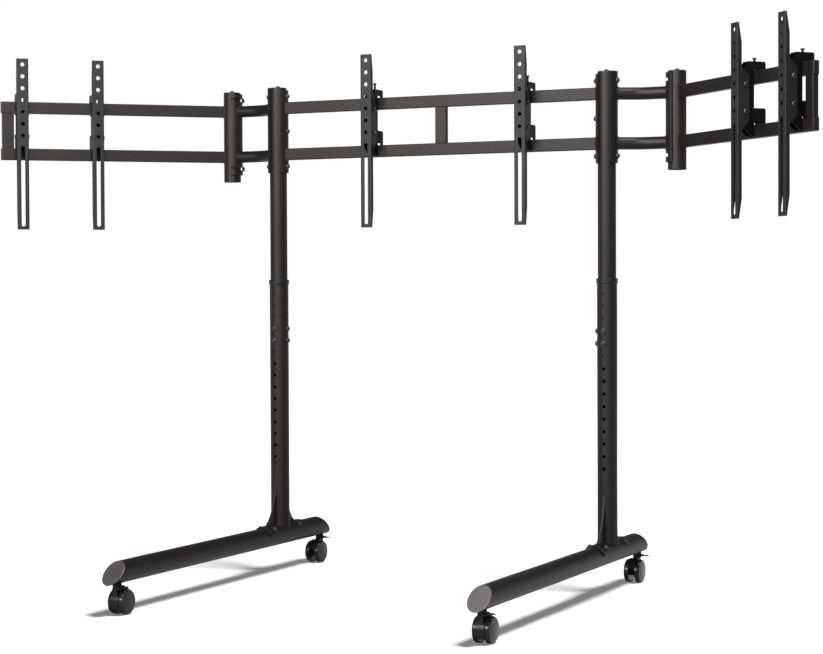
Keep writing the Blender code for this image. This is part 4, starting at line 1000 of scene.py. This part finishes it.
class STAND_OT_wing_frames(bpy.types.Operator):
    """Build the wings: pivot tube, two plugged rails and an end upright, with the clamping bolts"""

    bl_idname = "stand.wing_frames"
    bl_label = "Wing Frames"

    def execute(self, context):
        weld = sizes().weld
        pin = drum("pin", UPPER_RADIUS, PIVOT_BOTTOM, PIVOT_TOP, ends="NOTHING")
        thickened(pin, UPPER_WALL)
        rounded(pin, TUBE_RIM)
        strut_x = WING_LENGTH - 0.001 - RAIL_HEIGHT / 2
        parts = [pin, upright(strut_x)]
        parts += strut_welds(strut_x, weld * STRUT_WELD_SHARE)
        plugs = []
        for height in RAIL_LEVELS:
            parts.append(rail(UPPER_RADIUS * 0.93, WING_LENGTH, height))
            parts.append(rail_weld(UPPER_RADIUS, height, weld))
            plug = bar("plug", (WING_LENGTH - PLUG_DEPTH, WING_LENGTH + PLUG_LIP),
                       (-PLUG_HALF_WIDTH, PLUG_HALF_WIDTH),
                       (height - PLUG_HALF_HEIGHT, height + PLUG_HALF_HEIGHT))
            plugs.append(rounded(plug, PLUG_RIM, segments=3))
        wing = joined("wing", parts)
        ends = joined("ends", plugs)
        model = bolt_model()
        backwards = Matrix.Rotation(math.pi, 4, "Z") @ ACROSS @ at(0, 0, PIVOT_SHELL_OUTER + GAP)
        for side, mirror in SIDES.items():
            hinge = wing_frame(mirror)
            fitted(wing, hinge, f"wing_frame_{side}", "frame coat")
            fitted(ends, hinge, f"wing_frame_{side}", "black plastic", "plugs")
            for height, label in zip(CLAMP_LEVELS, ("lower", "upper")):
                place = hinge @ at(0, 0, height) @ backwards
                fitted(model, place, f"pivot_bolt_{side}_{label}", "screw steel")
        drop(wing, ends, model)
        return {"FINISHED"}


def bracket_places():
    """Each screen arm's label with the frame on its front face's middle line."""
    for place, x in CENTRE_ARMS.items():
        yield f"centre_{place}", at(x, POST_Y - ARM_REACH, FRAME_Z)
    for side, mirror in SIDES.items():
        for place, reach in WING_ARMS[side].items():
            yield f"{side}_{place}", wing_frame(mirror) @ at(reach, -ARM_REACH, 0)


def channel():
    """The slotted channel, folded from one sheet, shallow at its ends and deep where the bolts hold it."""
    half = ARM_WIDTH / 2
    slant = ARM_MIDDLE_DEPTH - ARM_EDGE_DEPTH
    piece = bar("channel", (-half, half), (0, ARM_MIDDLE_DEPTH), (ARM_BOTTOM, ARM_TOP))
    opened(piece, "FACE", lambda face: face.normal.y > 0.5 or abs(face.normal.z) > 0.5)
    bpy.ops.mesh.delete(type="ONLY_FACE")
    bpy.ops.mesh.select_mode(type="VERT")
    for height in (ARM_TAPER_BOTTOM, ARM_TAPER_BOTTOM + slant, ARM_TAPER_TOP - slant, ARM_TAPER_TOP,
                   ARM_BOTTOM + ARM_END_TAPER, ARM_TOP - ARM_END_TAPER):
        bpy.ops.mesh.select_all(action="SELECT")
        bpy.ops.mesh.bisect(plane_co=(0, 0, height), plane_no=(0, 0, 1))

    def beyond_taper(vertex):
        low = vertex.co.z < ARM_TAPER_BOTTOM + 0.001
        high = vertex.co.z > ARM_TAPER_TOP - 0.001
        return vertex.co.y > ARM_EDGE_DEPTH and (low or high)

    def along_fold(edge):
        first, second = [piece.data.vertices[index].co for index in edge.vertices]
        return first.y < 0.0001 and second.y < 0.0001 and abs(first.x - second.x) < 0.0001

    def at_end(vertex):
        return vertex.co.y > ARM_EDGE_DEPTH / 2 and not ARM_BOTTOM + 0.001 < vertex.co.z < ARM_TOP - 0.001

    opened(piece, "VERT", beyond_taper)
    bpy.ops.transform.translate(value=(0, -slant, 0))
    opened(piece, "VERT", at_end)
    bpy.ops.transform.translate(value=(0, ARM_END_DEPTH - ARM_EDGE_DEPTH, 0))
    opened(piece, "EDGE", along_fold)
    bpy.ops.mesh.bevel(offset=sizes().fold, segments=4)
    bpy.ops.object.mode_set(mode="OBJECT")
    return thickened(piece, ARM_WALL)


def arm_cutters():
    """The row of round holes and the long slot below it."""
    cutters = []
    for index in range(ARM_HOLE_COUNT):
        hole = drum("hole", ARM_HOLE_RADIUS, -0.004, 0.006, sides=32)
        cutters.append(shaped(hole, at(0, 0, ARM_TOP - ARM_FIRST_HOLE - ARM_HOLE_PITCH * index) @ FORWARDS))
    slot = drum("slot", ARM_HOLE_RADIUS, -0.004, 0.006, sides=32)
    opened(slot, "VERT", lambda vertex: vertex.co.y < 0)
    bpy.ops.transform.translate(value=(0, ARM_SLOT_TOP - ARM_SLOT_BOTTOM, 0))
    bpy.ops.object.mode_set(mode="OBJECT")
    cutters.append(shaped(slot, at(0, 0, ARM_TOP - ARM_SLOT_TOP) @ FORWARDS))
    return cutters


class STAND_OT_screen_arms(bpy.types.Operator):
    """Build the six slotted screen arms and the heads of their tilt bolts"""

    bl_idname = "stand.screen_arms"
    bl_label = "Screen Arms"

    def execute(self, context):
        arm = channel()
        for cutter in arm_cutters():
            cut(arm, cutter)
        rounded(arm, ARM_RIM)
        half = ARM_WIDTH / 2
        head = turned("head", [(0, 0), (TILT_HEAD_RADIUS - 0.0004, 0), (TILT_HEAD_RADIUS, 0.0004),
                               (TILT_HEAD_RADIUS, 0.0022), (TILT_HEAD_RADIUS - 0.0012, TILT_HEAD_HEIGHT),
                               (0, TILT_HEAD_HEIGHT)])
        cut(head, drum("socket", TILT_SOCKET_RADIUS, 0.0015, 0.005, sides=HEXAGON))
        shank = drum("shank", TILT_SHANK_RADIUS, -half, half, sides=24)
        places = []
        shanks = []
        for height in (TILT_PIVOT_Z, TILT_SLOT_Z):
            place = at(0, TILT_BOLT_DEPTH, height) @ ACROSS
            places += [place @ at(0, 0, half), place @ Matrix.Rotation(math.pi, 4, "X") @ at(0, 0, half)]
            shanks.append(twin(shank, "shank_copy", place))
        tilt_bolts = joined("tilt_bolts", [bolts(head, places)] + shanks)
        for label, place in bracket_places():
            fitted(arm, place, f"screen_arm_{label}", "arm coat")
            fitted(tilt_bolts, place, f"screen_arm_{label}", "screw steel", "bolts")
        drop(arm, head, shank, tilt_bolts)
        return {"FINISHED"}


class STAND_OT_hook_brackets(bpy.types.Operator):
    """Round the edges of the six hook brackets"""

    bl_idname = "stand.hook_brackets"
    bl_label = "Hook Brackets"

    def execute(self, context):
        for label, _ in bracket_places():
            node = f"hook_bracket_{label}"
            bracket = twin(frame["nodes"][node], "bracket")
            cleaned(bracket)
            bpy.ops.object.mode_set(mode="EDIT")
            bpy.ops.mesh.select_all(action="SELECT")
            bpy.ops.mesh.dissolve_limited(angle_limit=math.radians(1))
            bpy.ops.object.mode_set(mode="OBJECT")
            rounded(bracket, sizes().rim)
            dressed(bracket, f"{node}_body", node, "bracket coat")
        return {"FINISHED"}


def screw_profile(top):
    """A threaded shank up to a flared head."""
    low = HOOK_TOP - 0.006
    shank_top = top - LEVEL_HEAD_HEIGHT
    rail_top = RAIL_Z + RAIL_HEIGHT / 2
    profile = [(0, rail_top + GAP), (LEVEL_RADIUS - 0.0006, rail_top + GAP), (LEVEL_RADIUS, rail_top + 0.001),
               (LEVEL_RADIUS, low)]
    for i in range(int((shank_top - low) / THREAD_PITCH)):
        profile += [(LEVEL_RADIUS - THREAD_DEPTH, low + THREAD_PITCH * (i + 0.5)),
                    (LEVEL_RADIUS, low + THREAD_PITCH * (i + 1))]
    profile += [(LEVEL_RADIUS, shank_top), (LEVEL_HEAD_RADIUS - 0.0003, top - LEVEL_HEAD_HEIGHT / 2 - 0.0004),
                (LEVEL_HEAD_RADIUS, top - LEVEL_HEAD_HEIGHT / 2), (LEVEL_HEAD_RADIUS, top - 0.0005),
                (LEVEL_HEAD_RADIUS - 0.0005, top), (0, top)]
    return profile


class STAND_OT_level_screws(bpy.types.Operator):
    """Build the six level screws with their threads"""

    bl_idname = "stand.level_screws"
    bl_label = "Level Screws"

    def execute(self, context):
        for label, place in bracket_places():
            top = HOOK_TOP + (CENTRE_LEVEL_RISE if label.startswith("centre") else WING_LEVEL_RISE)
            screw = turned("screw", screw_profile(top), steps=32)
            low = top - LEVEL_SOCKET_DEPTH
            cut(screw, drum("socket", LEVEL_SOCKET_RADIUS, low, top + 0.001, sides=HEXAGON))
            node = f"level_screw_{label}"
            dressed(shaped(screw, place @ at(0, ARM_REACH, 0)), f"{node}_body", node, "screw steel")
        return {"FINISHED"}


def hood_model():
    """The caster's body between its wheels, with the neck, the axle and the lever's ears."""
    axle = (CASTER_TRAIL, WHEEL_RADIUS)
    radius = WHEEL_RADIUS + HOOD_LIFT
    lead, trail = [[math.radians(angle) for angle in ends] for ends in HOOD_ARCS]
    outline = arc(axle, radius, *lead, 14)
    shoulder = NECK_BOTTOM + HOOD_LIFT
    outline += [(HOOD_LIFT / 4 - NECK_RADIUS, shoulder), (NECK_RADIUS, shoulder)]
    outline += arc(axle, radius, *trail, 18)
    outline += [(CASTER_TRAIL + 2 * AXLE_RADIUS, WHEEL_RADIUS - 2 * AXLE_RADIUS),
                (CASTER_TRAIL - 2 * AXLE_RADIUS, WHEEL_RADIUS - 3 * AXLE_RADIUS)]
    body = shaped(plate("body", outline, HOOD_WIDTH, HOOD_RIM), ACROSS)
    flange = NECK_RADIUS + 0.0012
    neck = turned("neck", [(0, NECK_BOTTOM), (NECK_RADIUS, NECK_BOTTOM),
                           (NECK_RADIUS, LEG_CLEARANCE - 0.0035), (flange, LEG_CLEARANCE - 0.0025),
                           (flange, LEG_CLEARANCE), (0, LEG_CLEARANCE)])
    pin = drum("axle", AXLE_RADIUS, -AXLE_HALF_LENGTH, AXLE_HALF_LENGTH, sides=32)
    parts = [body, neck, shaped(pin, at(0, CASTER_TRAIL, WHEEL_RADIUS) @ ACROSS)]
    for ends in FENDER_ARCS:
        start, end = [math.radians(angle) for angle in ends]
        band = arc(axle, radius, start, end, 16) + arc(axle, WHEEL_RADIUS + FENDER_GAP, end, start, 16)
        parts.append(shaped(plate("fender", band, FENDER_WIDTH, FENDER_RIM), ACROSS))
    for side in (-1, 1):
        ear = bar("ear", (LEVER_HINGE_X - 2 * EAR_HALF_HEIGHT, LEVER_HINGE_X + EAR_HALF_HEIGHT),
                  (EAR_INNER, PIN_HALF_LENGTH),
                  (LEVER_HINGE_Z - EAR_HALF_HEIGHT, LEVER_HINGE_Z + EAR_HALF_HEIGHT))
        shaped(ear, Matrix.Scale(side, 4, Vector((0, 1, 0))))
        parts.append(rounded(ear, EAR_RIM))
    return joined("hood", parts)


def wheel_model():
    """A moulded wheel with a crowned tread, a rolled rim and a dished face, its axle on Z."""
    inner = HOOD_WIDTH / 2 + HOOD_SIDE_GAP
    outer = inner + WHEEL_WIDTH
    tread = WHEEL_RADIUS
    rim = WHEEL_RIM
    bore = AXLE_RADIUS + 0.0004
    profile = [(bore, inner + 0.0100), (bore, inner + 0.0002), (0.0235, inner + 0.0002), (0.0240, inner),
               (tread - 0.0010, inner), (tread - 0.0002, inner + 0.0010), (tread, inner + 0.0050)]
    profile += arc((tread - 0.0003 - rim, outer - 0.0012 - rim), rim, 0, math.radians(80), 9)
    profile += [(0.0185, outer - 0.0006), (0.0178, outer - 0.0009), (0.0172, outer - 0.0006),
                (0.0120, outer - 0.0001), (0.0050, outer), (0, outer)]
    return turned("wheel", profile, steps=72)


def lever_model():
    """The brake lever: a knuckle on its pin and a tapered pedal with grip ribs, the hinge at the origin."""
    half = [(0, PIN_HALF_LENGTH), (PIN_RADIUS, PIN_HALF_LENGTH), (PIN_RADIUS, LEVER_HALF_WIDTH),
            (KNUCKLE_RADIUS - 0.0003, LEVER_HALF_WIDTH), (KNUCKLE_RADIUS, LEVER_HALF_WIDTH - 0.0003)]
    profile = [(radius, -height) for radius, height in half] + half[::-1]
    knuckle = shaped(turned("knuckle", profile, steps=32), FORWARDS)
    width = LEVER_HALF_WIDTH - GAP
    edge = [(0, width), (LEVER_LENGTH * 0.60, width), (LEVER_LENGTH * 0.88, width * 0.62),
            (LEVER_LENGTH, LEVER_TIP_HALF_WIDTH)]
    outline = [(along, -out) for along, out in edge] + edge[::-1]
    parts = [knuckle, plate("pedal", outline, LEVER_THICKNESS, LEVER_RIM)]
    for share in RIB_SHARES:
        start = LEVER_LENGTH * share
        rib = bar("rib", (start, start + RIB_WIDTH), (-width * 0.8, width * 0.8),
                  (LEVER_THICKNESS / 2 - RIB_SINK, LEVER_THICKNESS / 2 + RIB_HEIGHT))
        parts.append(rounded(rib, RIB_SINK))
    return joined("lever", parts)


class STAND_OT_casters(bpy.types.Operator):
    """Build the four twin-wheel casters with their brake levers"""

    bl_idname = "stand.casters"
    bl_label = "Casters"

    def execute(self, context):
        hood = hood_model()
        wheel = wheel_model()
        lever = lever_model()
        rearwards = Matrix.Scale(-1, 4, Vector((0, 1, 0)))
        axle = at(0, CASTER_TRAIL, WHEEL_RADIUS) @ ACROSS
        for side, mirror in SIDES.items():
            x = (mirror @ Vector((POST_X, 0, 0))).x
            for end, place in (("front", at(x, CASTER_FRONT_Y, 0)),
                               ("rear", at(x, CASTER_REAR_Y, 0) @ rearwards)):
                fitted(hood, place, f"caster_hood_{side}_{end}", "black plastic")
                for hand, flip in SIDES.items():
                    fitted(wheel, place @ flip @ axle, f"caster_wheel_{side}_{end}_{hand}", "wheel nylon")
                hinge = place @ at(LEVER_HINGE_X, 0, LEVER_HINGE_Z)
                fitted(lever, hinge, f"brake_lever_{side}_{end}", "black plastic")
        drop(hood, wheel, lever)
        return {"FINISHED"}


def lamp(name, place, aim, width, height, power):
    """A rectangular studio lamp that the camera doesn't see."""
    light = bpy.data.lights.new(name, "AREA")
    light.shape = "RECTANGLE"
    light.size = width
    light.size_y = height
    light.energy = power
    holder = bpy.data.objects.new(name, light)
    bpy.context.scene.collection.objects.link(holder)
    direction = Vector(aim) - Vector(place)
    holder.matrix_world = at(*place) @ direction.to_track_quat("-Z", "Y").to_matrix().to_4x4()
    holder.visible_camera = False
    return holder


def worked(tree, operation, place, first, second):
    """The output of a math node on two others."""
    node = linked(tree, "ShaderNodeMath", place)
    node.operation = operation
    tree.links.new(first, node.inputs[0])
    tree.links.new(second, node.inputs[1])
    return node.outputs[0]


def seen_rays(tree, place):
    """1 for rays from the camera and for what gloss and glass show, else 0."""
    path = linked(tree, "ShaderNodeLightPath", place)
    seen = path.outputs["Is Camera Ray"]
    for step, kind in enumerate(("Is Glossy Ray", "Is Transmission Ray"), 1):
        seen = worked(tree, "MAXIMUM", (place[0] + 200 * step, place[1]), seen, path.outputs[kind])
    return seen


class STAND_OT_stage(bpy.types.Operator):
    """Make the pale floor, the studio light and the camera"""

    bl_idname = "stand.stage"
    bl_label = "Stage"

    def execute(self, context):
        stage = context.scene.stand_stage
        rest_all()
        bpy.ops.mesh.primitive_plane_add(size=FLOOR_SIZE, location=(0, 0, 0))
        floor = fresh("studio_floor")
        cloth = bpy.data.materials.new("studio floor")
        cloth.use_nodes = True
        tree = cloth.node_tree
        shader = tree.nodes["Principled BSDF"]
        shader.inputs["Base Color"].default_value = (*stage.floor, 1)
        shader.inputs["Roughness"].default_value = 0.9
        shader.inputs["Specular IOR Level"].default_value = 0.0
        seen = seen_rays(tree, (-600, -300))
        spot = linked(tree, "ShaderNodeTexCoord", (-900, -600))
        span = linked(tree, "ShaderNodeVectorMath", (-700, -600), Vector=(spot, "Object"))
        span.operation = "LENGTH"
        far = linked(tree, "ShaderNodeMapRange", (-500, -600), Value=(span, "Value"),
                     From_Min=FLOOR_LIFT_SPAN[0], From_Max=FLOOR_LIFT_SPAN[1],
                     To_Min=stage.floor_lift, To_Max=1.0)
        lift = worked(tree, "MULTIPLY", (0, -300), seen, far.outputs["Result"])
        shader.inputs["Emission Color"].default_value = (1, 1, 1, 1)
        tree.links.new(lift, shader.inputs["Emission Strength"])
        floor.data.materials.append(cloth)

        world = bpy.data.worlds.new("studio")
        context.scene.world = world
        world.use_nodes = True
        tree = world.node_tree
        sky = tree.nodes["Background"]
        seen = seen_rays(tree, (-900, 0))
        level = linked(tree, "ShaderNodeMapRange", (-300, 0), To_Min=stage.ambient, To_Max=1.0)
        tree.links.new(seen, level.inputs["Value"])
        way = linked(tree, "ShaderNodeTexCoord", (-900, -300))
        parts = linked(tree, "ShaderNodeSeparateXYZ", (-700, -300), Vector=(way, "Generated"))
        height = linked(tree, "ShaderNodeMapRange", (-500, -300), Value=(parts, "Z"),
                        From_Min=HORIZON_BAND[0], From_Max=HORIZON_BAND[1], To_Min=1.0, To_Max=stage.ceiling)
        tree.links.new(height.outputs["Result"], sky.inputs["Color"])
        tree.links.new(level.outputs["Result"], sky.inputs["Strength"])

        shaded = bpy.data.collections.new("shaded_floor")
        shaded.objects.link(floor)
        shaded.collection_objects[0].light_linking.link_state = "EXCLUDE"
        for name, values in FRONT_LAMPS.items():
            holder = lamp(f"{name}_lamp", *values, getattr(stage, name))
            holder.light_linking.receiver_collection = shaded
        lamp("top_lamp", *TOP_LAMP, stage.top)

        camera = bpy.data.cameras.new("camera")
        camera.sensor_width = 36
        camera.lens = CAMERA_LENS_MM
        camera.clip_start = 0.05
        camera.clip_end = 100
        holder = bpy.data.objects.new("camera", camera)
        context.scene.collection.objects.link(holder)
        yaw = Matrix.Rotation(CAMERA_YAW, 4, "Z")
        pitch = Matrix.Rotation(CAMERA_PITCH, 4, "X")
        roll = Matrix.Rotation(CAMERA_ROLL, 4, "Z")
        holder.matrix_world = at(*CAMERA_PLACE) @ yaw @ pitch @ roll
        context.scene.camera = holder
        context.scene.view_settings.view_transform = "Standard"
        return {"FINISHED"}


class STAND_PT_panel(bpy.types.Panel):
    """Lists the stand's sizes, colours and pieces"""

    bl_idname = "STAND_PT_panel"
    bl_label = "Triple Screen Stand"
    bl_space_type = "VIEW_3D"
    bl_region_type = "UI"
    bl_category = "Stand"

    def draw(self, context):
        layout = self.layout
        for group in (context.scene.stand_sizes, context.scene.stand_colours, context.scene.stand_stage):
            box = layout.box()
            for name in group.bl_rna.properties.keys():
                if name not in ("rna_type", "name"):
                    box.prop(group, name)
        for operator in PIECES:
            layout.operator(operator.bl_idname)


GROUPS = (StandSizes, StandColours, StandStage)
PIECES = (
    STAND_OT_finishes,
    STAND_OT_leg_tubes,
    STAND_OT_leg_caps,
    STAND_OT_lower_posts,
    STAND_OT_collars,
    STAND_OT_upper_posts,
    STAND_OT_centre_frame,
    STAND_OT_side_arms,
    STAND_OT_wing_frames,
    STAND_OT_screen_arms,
    STAND_OT_hook_brackets,
    STAND_OT_level_screws,
    STAND_OT_casters,
    STAND_OT_stage,
)


def register():
    for group in GROUPS:
        bpy.utils.register_class(group)
    bpy.types.Scene.stand_sizes = bpy.props.PointerProperty(type=StandSizes)
    bpy.types.Scene.stand_colours = bpy.props.PointerProperty(type=StandColours)
    bpy.types.Scene.stand_stage = bpy.props.PointerProperty(type=StandStage)
    for operator in PIECES:
        bpy.utils.register_class(operator)
    bpy.utils.register_class(STAND_PT_panel)


def unregister():
    bpy.utils.unregister_class(STAND_PT_panel)
    for operator in reversed(PIECES):
        bpy.utils.unregister_class(operator)
    del bpy.types.Scene.stand_stage
    del bpy.types.Scene.stand_colours
    del bpy.types.Scene.stand_sizes
    for group in reversed(GROUPS):
        bpy.utils.unregister_class(group)


def main():
    register()
    bpy.ops.stand.finishes()
    bpy.ops.stand.leg_tubes()
    bpy.ops.stand.leg_caps()
    bpy.ops.stand.lower_posts()
    bpy.ops.stand.collars()
    bpy.ops.stand.upper_posts()
    bpy.ops.stand.centre_frame()
    bpy.ops.stand.side_arms()
    bpy.ops.stand.wing_frames()
    bpy.ops.stand.screen_arms()
    bpy.ops.stand.hook_brackets()
    bpy.ops.stand.level_screws()
    bpy.ops.stand.casters()
    bpy.ops.stand.stage()


if __name__ == "__main__":
    main()
